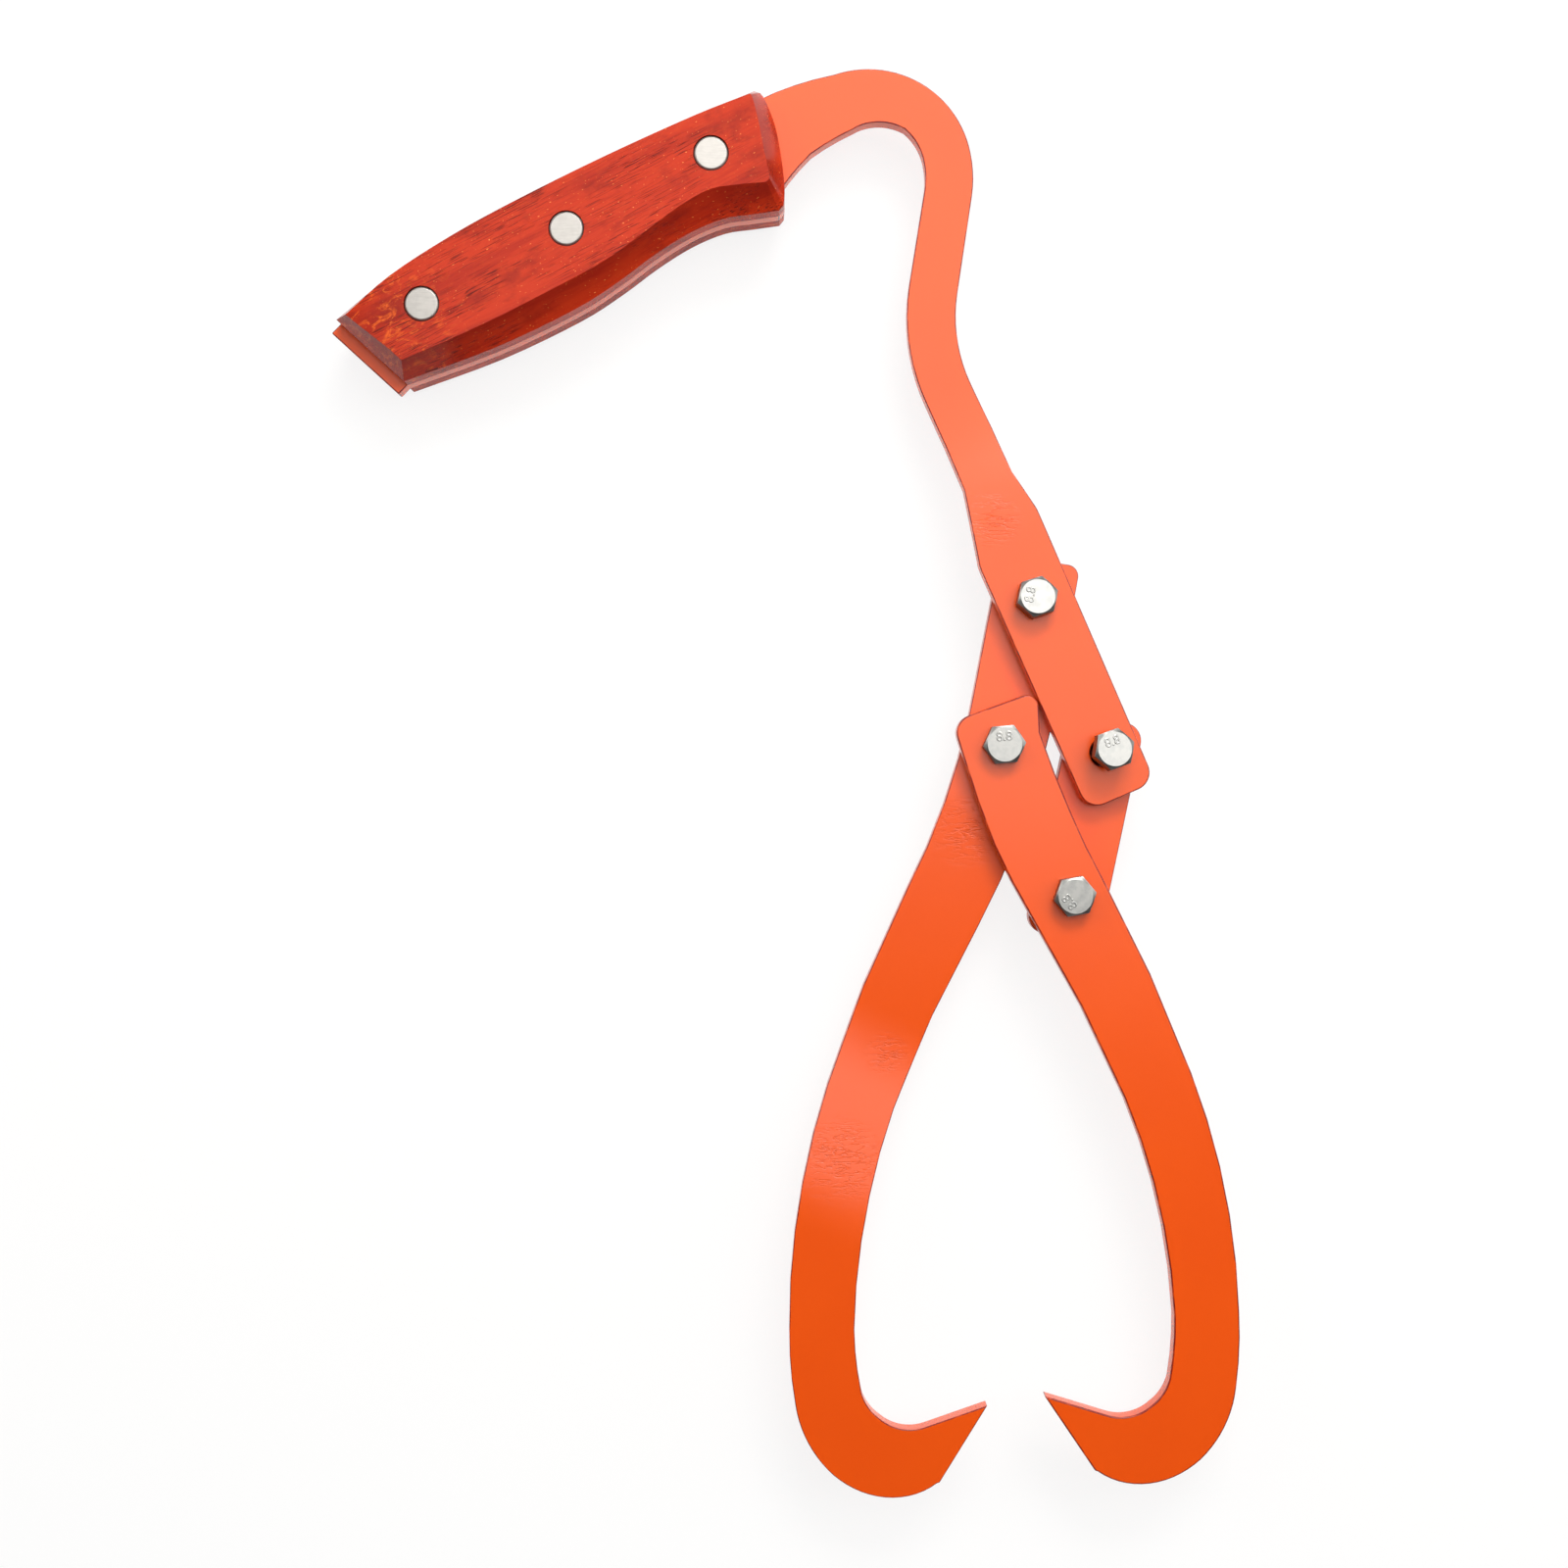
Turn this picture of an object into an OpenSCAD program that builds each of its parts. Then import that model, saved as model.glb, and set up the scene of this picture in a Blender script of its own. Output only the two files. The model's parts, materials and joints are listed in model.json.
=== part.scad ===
// Log tongs: two hooked steel jaws on a four-pivot linkage, hung from a hooked bar
// with a riveted wooden grip. Lying flat, front face up, lengths in millimetres.
// Plates lie in two layers: the handle bar and the right jaw in front, the left jaw
// and the link behind. The layout is drawn round the centre pivot and then moved so
// that the origin is under the middle of the whole outline.

/* [Plates] */
// Thickness of the steel plates
plate_t = 5; // [4:0.5:6]
// Running gap between the front layer and the back layer
layer_gap = 0.3; // [0.2:0.1:0.6]
// Radius of the corners at the plate ends
corner_r = 5; // [3:0.5:7]
// Distance from an end hole to the end of its plate
end_margin = 12; // [10:0.2:14]
// Radius of the bends where a plate steps from layer to layer
bend_r = 100; // [40:5:130]

/* [Linkage] */
// Hole distance on the handle bar and on the right jaw
lift_arm = 45; // [42:0.5:52]
// Hole distance on the left jaw and on the link
cross_arm = 39.5; // [38:0.5:44]
// Lean of the handle bar from upright, to the right at its lower end
bar_lean = 24.9; // [22:0.1:28]
// Lean of the left jaw's root from upright, to the left at its lower end
cross_lean = 12; // [10:0.5:18]
// Diameter of the pivot holes
pivot_hole_d = 7.6; // [7.4:0.1:8]
// Width of the handle bar at its pivots
bar_w = 20.3; // [18:0.2:23]
// Width of the link
link_w = 20.3; // [16:0.1:22]
// Distance from the side pivot to the upper end of the link
link_margin = 9.5; // [8:0.1:11]

/* [Handle bar] */
// Distance from the side pivot to the end of the handle bar's foot
foot_margin = 12.8; // [11:0.2:14]
// Width of the neck
neck_w = 13.6; // [11:0.2:16]
// Start of the left shoulder above the top pivot
left_shoulder = 14.5; // [12:0.5:17]
// End of the left shoulder above the top pivot
left_shoulder_end = 30; // [26:0.5:32]
// Start of the right shoulder above the top pivot
right_shoulder = 22.5; // [20:0.5:26]
// Start of the step to the back layer above the top pivot
bar_step_start = 26; // [22:1:30]
// Length of the step to the back layer
bar_step_len = 26; // [20:1:34]
// Offset of the neck to the right of the pivot line
neck_offset = 2.2; // [0:0.1:4]
// Length of the neck up to its first bend
neck_len = 26.5; // [20:0.5:30]
// Length of the bend that brings the neck upright
sway_len = 29; // [24:1:36]
// Straight length below the gooseneck
rise_len = 27; // [22:1:34]
// Centreline radius of the gooseneck
gooseneck_r = 21; // [18:0.5:26]

/* [Grip] */
// Tilt of the grip's length
grip_tilt = 27.5; // [20:0.5:35]
// Middle rivet to the upper corner of the butt
grip_back = 66.3; // [60:0.1:72]
// Middle rivet to the front end
grip_front = 63.8; // [60:0.1:66]
// Rivet line to the crown of the back
grip_crown = 14.3; // [12:0.1:17]
// Rivet line to the deepest part of the belly
grip_belly = 19.1; // [17:0.1:22]
// Depth of the finger hollow, from the belly upward
finger_hollow = 4; // [2:0.2:6]
// Rivet line to the tip of the front corner
front_corner = 20.9; // [19:0.1:23]
// Thickness of each wooden scale
scale_t = 10; // [7:0.5:14]
// Height of the scale's straight wall
scale_wall = 5; // [2:0.5:7]
// Width of the bevel along the belly
belly_bevel = 6.4; // [3:0.2:8]
// Width of the bevel at the front end
front_bevel = 3.6; // [2:0.2:6]
// Width of the bevel at the butt
butt_bevel = 3.2; // [1:0.2:5]
// Width of the bevel along the back
back_bevel = 1.4; // [0.5:0.1:4]
// Length of the steel tang that shows past the butt
tang_show = 3.3; // [1:0.1:6]

/* [Rivets] */
// Distance between the rivets
rivet_pitch = 43.7; // [36:0.1:48]
// Diameter of the rivet heads
rivet_head_d = 9.3; // [7.5:0.1:11]
// Thickness of the rivet heads
rivet_head_t = 1.4; // [1:0.1:2]
// Outer diameter of the rivet sleeve
rivet_sleeve_d = 6; // [5:0.1:6.6]
// Diameter of the rivet post
rivet_post_d = 4; // [3:0.1:4.4]
// Clearance round the rivets, to the side
rivet_gap = 0.15; // [0.05:0.05:0.3]

/* [Jaws] */
// Half width of the right jaw's upper end on the outer side
right_top_out = 10.2; // [9:0.2:11]
// Half width of the right jaw's upper end on the side of the handle bar
right_top_in = 14.4; // [12:0.1:14.6]
// Half width of the right jaw beside the centre pivot on the same side
right_waist = 11.2; // [10:0.1:12]
// Radius of the jaws' upper corners on the side of the handle bar
jaw_corner_r = 3.2; // [1.5:0.1:5]
// Width of the left jaw at its upper end
left_top_w = 21.9; // [20:0.2:23]
// Width of both jaws beside the pivots
jaw_pivot_w = 22.6; // [21:0.2:23]
// Width of both jaws where the bows begin
jaw_root_w = 22; // [20:0.2:23]
// Width of the jaws at the middle of the bow
jaw_mid_w = 19.3; // [17:0.1:21]
// Width of the jaws above the heel
jaw_heel_w = 17.6; // [16:0.1:20]
// Width of the jaws at the heel
jaw_hook_w = 18.2; // [17:0.1:21]
// Distance from the centre pivot to the upper end of the right jaw
right_end_margin = 10.6; // [8:0.2:12]
// Length of the right jaw's root
right_root_len = 34.3; // [32:0.1:38]
// Turn of the right jaw's root
right_root_turn = 3.5; // [1:0.1:8]
// Length from the right jaw's root to its bow
right_flare_len = 21.3; // [18:0.5:28]
// Turn from the right jaw's root to its bow
right_flare_turn = 6.4; // [2:0.1:8]
// Length of the left jaw's root
left_root_len = 44.9; // [42:0.2:50]
// Turn of the left jaw's root
left_root_turn = 3.3; // [0:0.1:6]
// Length from the left jaw's root to its bow
left_flare_len = 54; // [46:0.5:58]
// Turn from the left jaw's root to its bow
left_flare_turn = 15.2; // [12:0.2:20]
// Length of the upper half of the bow
upper_bow_len = 56.4; // [50:0.2:64]
// Turn of the upper half of the bow
upper_bow_turn = 8; // [4:0.5:12]
// Length of the lower half of the bow
lower_bow_len = 63.2; // [54:0.2:70]
// Turn of the lower half of the bow
lower_bow_turn = 19.5; // [14:0.5:24]
// Length of the heel
heel_len = 18.9; // [14:1:24]
// Turn of the heel
heel_turn = 11; // [8:1:16]
// Centreline radius of the hook
hook_r = 22.4; // [18:0.5:26]
// Turn of the hook
hook_turn = 98.2; // [90:0.5:104]
// Length of the point along its inner edge
point_len = 17.8; // [14:0.5:24]
// Angle between the two edges of the point
point_angle = 39; // [30:1:50]
// Length of the outer edge of the point
point_back_len = 24.5; // [20:0.5:28]
// Distance from the centre pivot to the first bend of the left jaw
jaw_step_start = 20; // [15:1:30]
// Distance from the centre pivot to the deepest part of the left jaw
jaw_step_mid = 90; // [80:1:100]
// Distance from the centre pivot to the end of the left jaw's bends
jaw_step_end = 132; // [120:1:140]
// Depth by which the left jaw dips back below its root
jaw_dip = 2.5; // [0:0.5:4]

/* [Fasteners] */
// Thread diameter of the bolts
bolt_d = 5.9; // [5.7:0.05:6.2]
// Length of the bolts under the head
bolt_len = 20; // [18:1:25]
// Size across the flats of the bolt heads and nuts
hex_af = 10; // [9:0.5:11]
// Height of the bolt heads
head_h = 4; // [3:0.1:5]
// Diameter of the flat on top of the bolt heads
head_flat_d = 9.2; // [8:0.1:9.6]
// Height of the hexagon of the lock nuts
nut_h = 4; // [3:0.5:5]
// Height of the round collar of the lock nuts
collar_h = 2; // [1.6:0.1:3]
// Clearance between the thread and what it turns in
thread_gap = 0.05; // [0.02:0.01:0.1]
// Play between a fastener and the plate beside it
seat_gap = 0.2; // [0.1:0.05:0.4]
// How far the head of the top pivot's bolt stands off
top_stand_off = 1.5; // [0.2:0.1:2.5]
// How far the head of the side pivot's bolt stands off
side_stand_off = 4.5; // [1:0.1:4.8]
// Lean of the loose bolt at the top pivot
top_bolt_lean = 6; // [0:0.5:8]
// Lean of the loose bolt at the side pivot
side_bolt_lean = 8; // [0:0.5:8]

/* [Hidden] */

// Largest turn of one step along a curved edge, round a corner and along a bend
arc_step = 4;
corner_step = 10;
bend_step = 2;
// Largest share of a straight piece that the bend at one of its ends may take
bend_share = 0.48;
// Steps between two points of a smooth curve
curve_steps = 4;
// Overlap that lets a cut run clear through a face
through = 1;

orange_paint = [0.96, 0.40, 0.14];
stained_wood = [0.55, 0.13, 0.07];
bright_rivet = [0.86, 0.85, 0.82];
zinc = [0.80, 0.81, 0.82];
nylon = [0.20, 0.35, 0.75];

// Levels of the two layers, with the middle of the gap at zero
front_low = layer_gap / 2;
front_high = front_low + plate_t;
front_mid = front_low + plate_t / 2;
back_high = -layer_gap / 2;
back_low = back_high - plate_t;
back_mid = back_high - plate_t / 2;
floor_level = back_low - scale_t;

// Pivots of the parallelogram, round the centre pivot
centre_pivot = [0, 0];
lower_pivot = lift_arm * [sin(bar_lean), -cos(bar_lean)];
top_pivot = cross_arm * [sin(cross_lean), cos(cross_lean)];
side_pivot = top_pivot + lower_pivot;

// Headings, counter-clockwise from the right
bar_up = 90 + bar_lean;
bar_down = bar_up + 180;
cross_down = 270 - cross_lean;

function along(angle) = [cos(angle), sin(angle)];
function across(angle) = [-sin(angle), cos(angle)];
function mix(a, b, f) = a + (b - a) * f;
function last(list) = list[len(list) - 1];
function backwards(list) = [for (i = [len(list) - 1:-1:0]) list[i]];
function turned(p, angle) = [
    p[0] * cos(angle) - p[1] * sin(angle),
    p[0] * sin(angle) + p[1] * cos(angle)
];

// A leg of a path is [length, turn, width left, width right] at its end. A fifth
// value lets the widths change late along the leg.
// A station on a path is [x, y, heading, width left, width right].
function chord(length, turn) =
    abs(turn) < 0.01 ? length : length * sin(turn / 2) / (turn / 2 * PI / 180);
function station(s, leg, f) =
    let (
        c = chord(leg[0] * f, leg[1] * f),
        a = s[2] + leg[1] * f / 2,
        w = len(leg) > 4 ? pow(f, leg[4]) : f
    )
    [
        s[0] + c * cos(a), s[1] + c * sin(a), s[2] + leg[1] * f,
        mix(s[3], leg[2], w), mix(s[4], leg[3], w)
    ];
function leg_parts(leg) = max(1, ceil(abs(leg[1]) / arc_step));
function walk_leg(s, leg) =
    [for (i = [1:leg_parts(leg)]) station(s, leg, i / leg_parts(leg))];
function walk(s, legs, i = 0) =
    i >= len(legs) ? [] :
    let (w = walk_leg(s, legs[i])) concat(w, walk(last(w), legs, i + 1));
function stations(at, heading, left_w, right_w, legs) =
    let (s = [at[0], at[1], heading, left_w, right_w]) concat([s], walk(s, legs));
function spot(s) = [s[0], s[1]];
function left_edge(path) = [for (s = path) spot(s) + s[3] * across(s[2])];
function right_edge(path) = [for (s = path) spot(s) - s[4] * across(s[2])];

// Rounded corner at b, between a and c, in steps of one angle
function heading(a, b) = atan2(b[1] - a[1], b[0] - a[0]);
function wrapped(angle) = angle > 180 ? angle - 360 : angle < -180 ? angle + 360 : angle;
function round_corner(a, b, c, r, step = corner_step) =
    let (
        h = heading(a, b),
        turn = wrapped(heading(b, c) - h),
        start = b - r * tan(abs(turn) / 2) * along(h),
        side = turn > 0 ? 1 : -1,
        hub = start + side * r * across(h),
        parts = max(2, ceil(abs(turn) / step))
    )
    [for (i = [0:parts]) hub - side * r * across(h + turn * i / parts)];

// Smooth curve through a list of points
function curve_point(a, b, c, d, f) =
    0.5 * (2 * b + (c - a) * f + (2 * a - 5 * b + 4 * c - d) * f * f
        + (3 * b - a - 3 * c + d) * f * f * f);
function smooth(pts) =
    let (n = len(pts))
    concat(
        [for (i = [0:n - 2], k = [0:curve_steps - 1])
            curve_point(
                i == 0 ? 2 * pts[0] - pts[1] : pts[i - 1],
                pts[i],
                pts[i + 1],
                i == n - 2 ? 2 * pts[n - 1] - pts[n - 2] : pts[i + 2],
                k / curve_steps
            )],
        [last(pts)]
    );

// Bow, heel and hook of a jaw. Side is 1 for a jaw that turns left on its way
// to the point and -1 for one that turns right.
hook_len = hook_r * hook_turn * PI / 180;
hook_full = 0.4;
hook_grow = 0.8;
hook_end_out = 4.7;
hook_ease = 2.5;
function bow_legs(side) =
    let (
        mid = jaw_mid_w / 2,
        low = jaw_heel_w / 2,
        heel = jaw_hook_w / 2,
        full = heel + hook_grow,
        in_turn = side * hook_turn * hook_full,
        out_turn = side * hook_turn - in_turn
    )
    [
        [upper_bow_len, side * upper_bow_turn, mid, mid],
        [lower_bow_len, side * lower_bow_turn, low, low],
        [heel_len, side * heel_turn, heel, heel],
        [hook_len * hook_full, in_turn, full, full],
        [
            hook_len * (1 - hook_full), out_turn,
            side > 0 ? full : hook_end_out,
            side > 0 ? hook_end_out : full,
            hook_ease
        ]
    ];

// Root, bow and hook of each jaw
right_start_side = 0.25;
right_start_turn = -5;
right_start = centre_pivot - right_end_margin * along(bar_down)
    + right_start_side * across(bar_down);
right_waist_turn = -1.3;
right_waist_out = mix(right_top_out, jaw_pivot_w / 2, right_end_margin / right_root_len);
right_path = stations(
    right_start, bar_down + right_start_turn, right_top_in, right_top_out,
    concat(
        [
            [right_end_margin, right_waist_turn, right_waist, right_waist_out],
            [
                right_root_len - right_end_margin, right_root_turn - right_waist_turn,
                jaw_pivot_w / 2, jaw_pivot_w / 2
            ],
            [right_flare_len, right_flare_turn, jaw_root_w / 2, jaw_root_w / 2]
        ],
        bow_legs(-1)
    )
);
left_start_turn = 3;
left_start = top_pivot - end_margin * along(cross_down);
left_path = stations(
    left_start, cross_down + left_start_turn, left_top_w / 2, left_top_w / 2,
    concat(
        [
            [left_root_len, -left_root_turn, jaw_pivot_w / 2, jaw_pivot_w / 2],
            [left_flare_len, -left_flare_turn, jaw_root_w / 2, jaw_root_w / 2]
        ],
        bow_legs(1)
    )
);

// Outline of a jaw. The inner edge of the hook runs straight on to the tip, and
// the back of the point closes the outer edge at its corner.
function jaw_outline(path, side) =
    let (
        l = left_edge(path),
        r = right_edge(path),
        n = len(path),
        h = last(path)[2],
        tip = (side > 0 ? last(l) : last(r)) + point_len * along(h),
        corner = tip + point_back_len * along(h + 180 + side * point_angle)
    )
    concat(
        round_corner(l[1], l[0], r[0], jaw_corner_r),
        round_corner(l[0], r[0], r[1], corner_r),
        [for (i = [1:side > 0 ? n - 2 : n - 1]) r[i]],
        side > 0 ? [corner, tip] : [tip, corner],
        [for (i = [side > 0 ? n - 1 : n - 2:-1:1]) l[i]]
    );
right_outline = jaw_outline(right_path, -1);
left_outline = jaw_outline(left_path, 1);

// Handle bar: straight foot with two pivots, shoulders, neck and gooseneck
neck_start = 35;
neck_cast = 4.3;
neck_flare = 0.5;
foot_cast = 1.4;
foot_inset = 0.4;
shoulder_r = 10;
shoulder_left_w = bar_w / 2 - 0.75;
shoulder_left_end_w = neck_w / 2 - 1.3;
shoulder_right_w = bar_w / 2 + 1.25;
sway_turn = 33;
gooseneck_entry_len = 9;
gooseneck_entry_turn = 19.5;
gooseneck_turn = 98;
gooseneck_len = gooseneck_r * gooseneck_turn * PI / 180;
root_len = 30;
root_turn = 22;
root_w = 25;
// Widths to the left and right of the neck's path, and the shares of the gooseneck
// and of the root at which they change
neck_in = neck_w / 2 - 0.5;
neck_out = neck_w / 2 + 0.25;
rise_in = neck_w / 2 - 1;
rise_out = neck_w / 2 + 0.45;
gooseneck_in = neck_w / 2 - 1.5;
gooseneck_out = neck_w / 2 + 0.8;
gooseneck_end = neck_w / 2 + 1.1;
gooseneck_thin = 0.42;
root_in = neck_w / 2 + 2.4;
root_out = neck_w / 2 + 3.5;
root_half = 0.5;
function on_bar(up, left) = top_pivot + up * along(bar_up) + left * across(bar_up);
function on_foot(up, left) =
    (top_pivot + side_pivot) / 2
        + up * along(bar_up - foot_cast) + left * across(bar_up - foot_cast);
neck_path = stations(
    on_bar(neck_start, -neck_offset), bar_up - neck_cast,
    neck_in, neck_out + neck_flare,
    [
        [neck_len, neck_cast, neck_in, neck_out],
        [sway_len, -sway_turn, neck_in, neck_out],
        [rise_len, 0, rise_in, rise_out],
        [gooseneck_entry_len, gooseneck_entry_turn, rise_in, rise_out],
        [
            gooseneck_len * gooseneck_thin, gooseneck_turn * gooseneck_thin,
            gooseneck_in, gooseneck_out
        ],
        [
            gooseneck_len * (1 - gooseneck_thin), gooseneck_turn * (1 - gooseneck_thin),
            gooseneck_end, gooseneck_end
        ],
        [root_len * root_half, root_turn * root_half, root_in, root_out],
        [root_len * (1 - root_half), root_turn * (1 - root_half), root_w / 2, root_w / 2]
    ]
);
foot_left = on_foot(-lift_arm / 2 - foot_margin, bar_w / 2 - foot_inset);
foot_right = on_foot(-lift_arm / 2 - foot_margin, -bar_w / 2);
shoulder_left = on_bar(left_shoulder, shoulder_left_w);
shoulder_left_end = on_bar(left_shoulder_end, shoulder_left_end_w);
shoulder_right = on_bar(right_shoulder, -shoulder_right_w);
neck_left = left_edge(neck_path);
neck_right = right_edge(neck_path);
bar_outline = concat(
    round_corner(shoulder_left, foot_left, foot_right, corner_r),
    round_corner(foot_left, foot_right, shoulder_right, corner_r),
    round_corner(foot_right, shoulder_right, neck_right[0], shoulder_r),
    neck_right,
    backwards(neck_left),
    round_corner(neck_left[0], shoulder_left_end, shoulder_left, shoulder_r),
    round_corner(shoulder_left_end, shoulder_left, foot_left, shoulder_r)
);

// Grip outline round the middle rivet, x toward the front end and y toward the back
butt_high = grip_crown - 6.1;
butt_low = grip_belly - 4.1;
butt_low_x = 8.5 - grip_back;
hollow_level = -grip_belly + finger_hollow;
corner_in = 10.4;
corner_x = grip_front - corner_in;
corner_rise = 2.4;
corner_ease = 1.8;
corner_lift = 0.8;
back_points = [
    [-grip_back, butt_high], [-0.72 * grip_back, grip_crown - 2.3],
    [-0.42 * grip_back, grip_crown - 0.4], [-0.12 * grip_back, grip_crown],
    [0.28 * grip_front, grip_crown - 0.5], [0.69 * grip_front, grip_crown - 1.9],
    [grip_front - 1.6, grip_crown - 3.4]
];
front_points = [
    [grip_front - 0.3, grip_crown - 4.6], [grip_front, grip_crown - 7],
    [grip_front - 0.8, 0], [grip_front - 3.4, -8.7], [grip_front - 6.2, -16],
    [corner_x + corner_ease, -front_corner + corner_lift]
];
belly_points = [
    [corner_x, -front_corner], [0.73 * grip_front, -front_corner + corner_rise],
    [0.61 * grip_front, hollow_level - 0.8], [0.455 * grip_front, hollow_level],
    [0.28 * grip_front, hollow_level - 0.9], [0.095 * grip_front, -grip_belly + 1.2],
    [-0.12 * grip_back, -grip_belly], [-0.48 * grip_back, -grip_belly + 0.8],
    [butt_low_x, -butt_low]
];
// The flat face inside the bevels, point for point
face_back_points = [
    [-grip_back + butt_bevel, butt_high - 1.4],
    for (i = [1:5]) back_points[i] - [0, back_bevel],
    [grip_front - front_bevel, grip_crown - 5]
];
face_front_points = [
    [grip_front - front_bevel + 0.2, grip_crown - 5.6],
    [grip_front - front_bevel - 0.1, 6.6], [grip_front - front_bevel - 1.6, 0.6],
    [grip_front - front_bevel - 3.6, -6], [grip_front - front_bevel - 5, -11.4],
    [grip_front - front_bevel - 5.8, -13.3]
];
face_belly_points = [
    [corner_x + 3.4 - front_bevel, -front_corner + belly_bevel + 0.8],
    [0.72 * grip_front, -front_corner + corner_rise + belly_bevel + 1.4],
    [0.61 * grip_front, hollow_level - 0.8 + belly_bevel + 1],
    [0.47 * grip_front, hollow_level + belly_bevel],
    [0.28 * grip_front, hollow_level - 0.9 + belly_bevel - 1],
    [0.095 * grip_front, -grip_belly + 1.2 + belly_bevel - 0.8],
    [-0.12 * grip_back, -grip_belly + belly_bevel],
    [-0.48 * grip_back, -grip_belly + 0.8 + belly_bevel - 0.6],
    [butt_low_x + butt_bevel - 0.8, -butt_low + belly_bevel - 2.4]
];
function scale_ring(back, front, belly) = concat(
    backwards(smooth(belly)), backwards(smooth(front)), backwards(smooth(back))
);
wall_ring = scale_ring(back_points, front_points, belly_points);
face_ring = scale_ring(face_back_points, face_front_points, face_belly_points);
ring_n = len(wall_ring);

// Place of the grip: its middle rivet, so far behind the end of the neck that the
// front end of the grip covers the root of the tang
root_cover = 10.2;
root_side = 2.9;
grip_hub = spot(last(neck_path)) + turned([root_cover - grip_front, root_side], grip_tilt);
function on_grip(p) = grip_hub + turned(p, grip_tilt);
tang_butt = tang_show * [-1, -0.33];
tang_outline = [
    for (p = concat(
        wall_ring,
        [last(wall_ring) + tang_butt, wall_ring[0] + tang_butt]
    )) on_grip(p)
];
rivet_spots = [for (i = [-1:1]) on_grip([i * rivet_pitch, 0])];

// The whole outline, which sets the place of the origin
outline_points = concat(right_outline, left_outline, bar_outline, tang_outline);
outline_x = [for (p = outline_points) p[0]];
outline_y = [for (p = outline_points) p[1]];
middle_x = (min(outline_x) + max(outline_x)) / 2;
middle_y = (min(outline_y) + max(outline_y)) / 2;
module placed() {
    translate([-middle_x, -middle_y, -floor_level])
        children();
}
module at_pivot(p) {
    placed()
        translate([p[0], p[1], 0])
            children();
}

// A flat plate in one of the layers
module plate(outline, low) {
    translate([0, 0, low])
        linear_extrude(height = plate_t)
            polygon(outline);
}
// A plate that steps between levels: its outline, cut by a bent strip seen edge-on.
// The strip starts at a point and runs along a heading.
reach = left_root_len + left_flare_len + upper_bow_len + lower_bow_len + hook_len;
function fit_r(a, b, c) =
    let (turn = wrapped(heading(b, c) - heading(a, b)))
    min(bend_r, bend_share * min(norm(b - a), norm(c - b)) / tan(abs(turn) / 2));
function bend_line(pts) =
    concat(
        [pts[0]],
        [for (i = [1:len(pts) - 2])
            let (a = pts[i - 1], b = pts[i], c = pts[i + 1])
            each round_corner(a, b, c, fit_r(a, b, c), bend_step)],
        [last(pts)]
    );
module bent_plate(outline, from, angle, line) {
    half = [0, plate_t / 2];
    intersection() {
        translate([0, 0, floor_level])
            linear_extrude(height = front_high - floor_level + through)
                polygon(outline);
        translate([from[0], from[1], 0])
            rotate([90, 0, angle])
                linear_extrude(height = 2 * reach, center = true)
                    polygon(concat(
                        [for (p = line) p - half],
                        backwards([for (p = line) p + half])
                    ));
    }
}
module hole(p, d) {
    translate([p[0], p[1], floor_level - through])
        cylinder(h = front_high + scale_t - floor_level + 2 * through, d = d);
}

bar_step_heading = 113;
bar_line = bend_line([
    [-reach, front_mid], [bar_step_start, front_mid],
    [bar_step_start + bar_step_len, back_mid], [reach, back_mid]
]);
module handle_bar() {
    color(orange_paint)
        placed()
            difference() {
                union() {
                    bent_plate(bar_outline, top_pivot, bar_step_heading, bar_line);
                    plate(tang_outline, back_low);
                }
                hole(top_pivot, pivot_hole_d);
                hole(side_pivot, pivot_hole_d);
                for (p = rivet_spots)
                    hole(p, rivet_sleeve_d + 2 * rivet_gap);
            }
}

jaw_step_heading = 246;
jaw_line = bend_line([
    [-reach, back_mid], [jaw_step_start, back_mid],
    [jaw_step_mid, back_mid - jaw_dip], [jaw_step_end, front_mid], [reach, front_mid]
]);
module left_jaw() {
    color(orange_paint)
        placed()
            difference() {
                bent_plate(left_outline, centre_pivot, jaw_step_heading, jaw_line);
                hole(top_pivot, pivot_hole_d);
                hole(centre_pivot, pivot_hole_d);
            }
}
module right_jaw() {
    color(orange_paint)
        placed()
            difference() {
                plate(right_outline, front_low);
                hole(centre_pivot, pivot_hole_d);
                hole(lower_pivot, pivot_hole_d);
            }
}

link_ends = [
    side_pivot - link_margin * along(cross_down),
    lower_pivot + end_margin * along(cross_down)
];
link_side = link_w / 2 * across(cross_down);
link_corners = [
    link_ends[0] - link_side, link_ends[1] - link_side,
    link_ends[1] + link_side, link_ends[0] + link_side
];
link_outline = [
    for (i = [0:3])
        each round_corner(
            link_corners[(i + 3) % 4], link_corners[i], link_corners[(i + 1) % 4], corner_r
        )
];
module link() {
    color(orange_paint)
        placed()
            difference() {
                plate(link_outline, back_low);
                hole(side_pivot, pivot_hole_d);
                hole(lower_pivot, pivot_hole_d);
            }
}

// Wooden scales: a straight wall from the tang, then a bevel up to a flat face. The
// wall and the bevel run on past the scale and are cut level at its seat and its face.
bevel_rise = scale_t - scale_wall;
past_face = 1 + through / bevel_rise;
past_ring = wall_ring + past_face * (face_ring - wall_ring);
function ring_at(ring, z) = [for (p = ring) let (q = on_grip(p)) [q[0], q[1], z]];
function ring_flat(k, up) =
    let (list = [for (i = [0:ring_n - 1]) k * ring_n + i]) up ? backwards(list) : list;
function ring_sides(k) = [
    for (i = [0:ring_n - 1])
        let (a = k * ring_n + i, b = k * ring_n + (i + 1) % ring_n)
        each [[a, a + ring_n, b + ring_n], [a, b + ring_n, b]]
];
scale_faces = concat([ring_flat(0, false)], ring_sides(0), ring_sides(1), [ring_flat(2, true)]);
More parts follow.
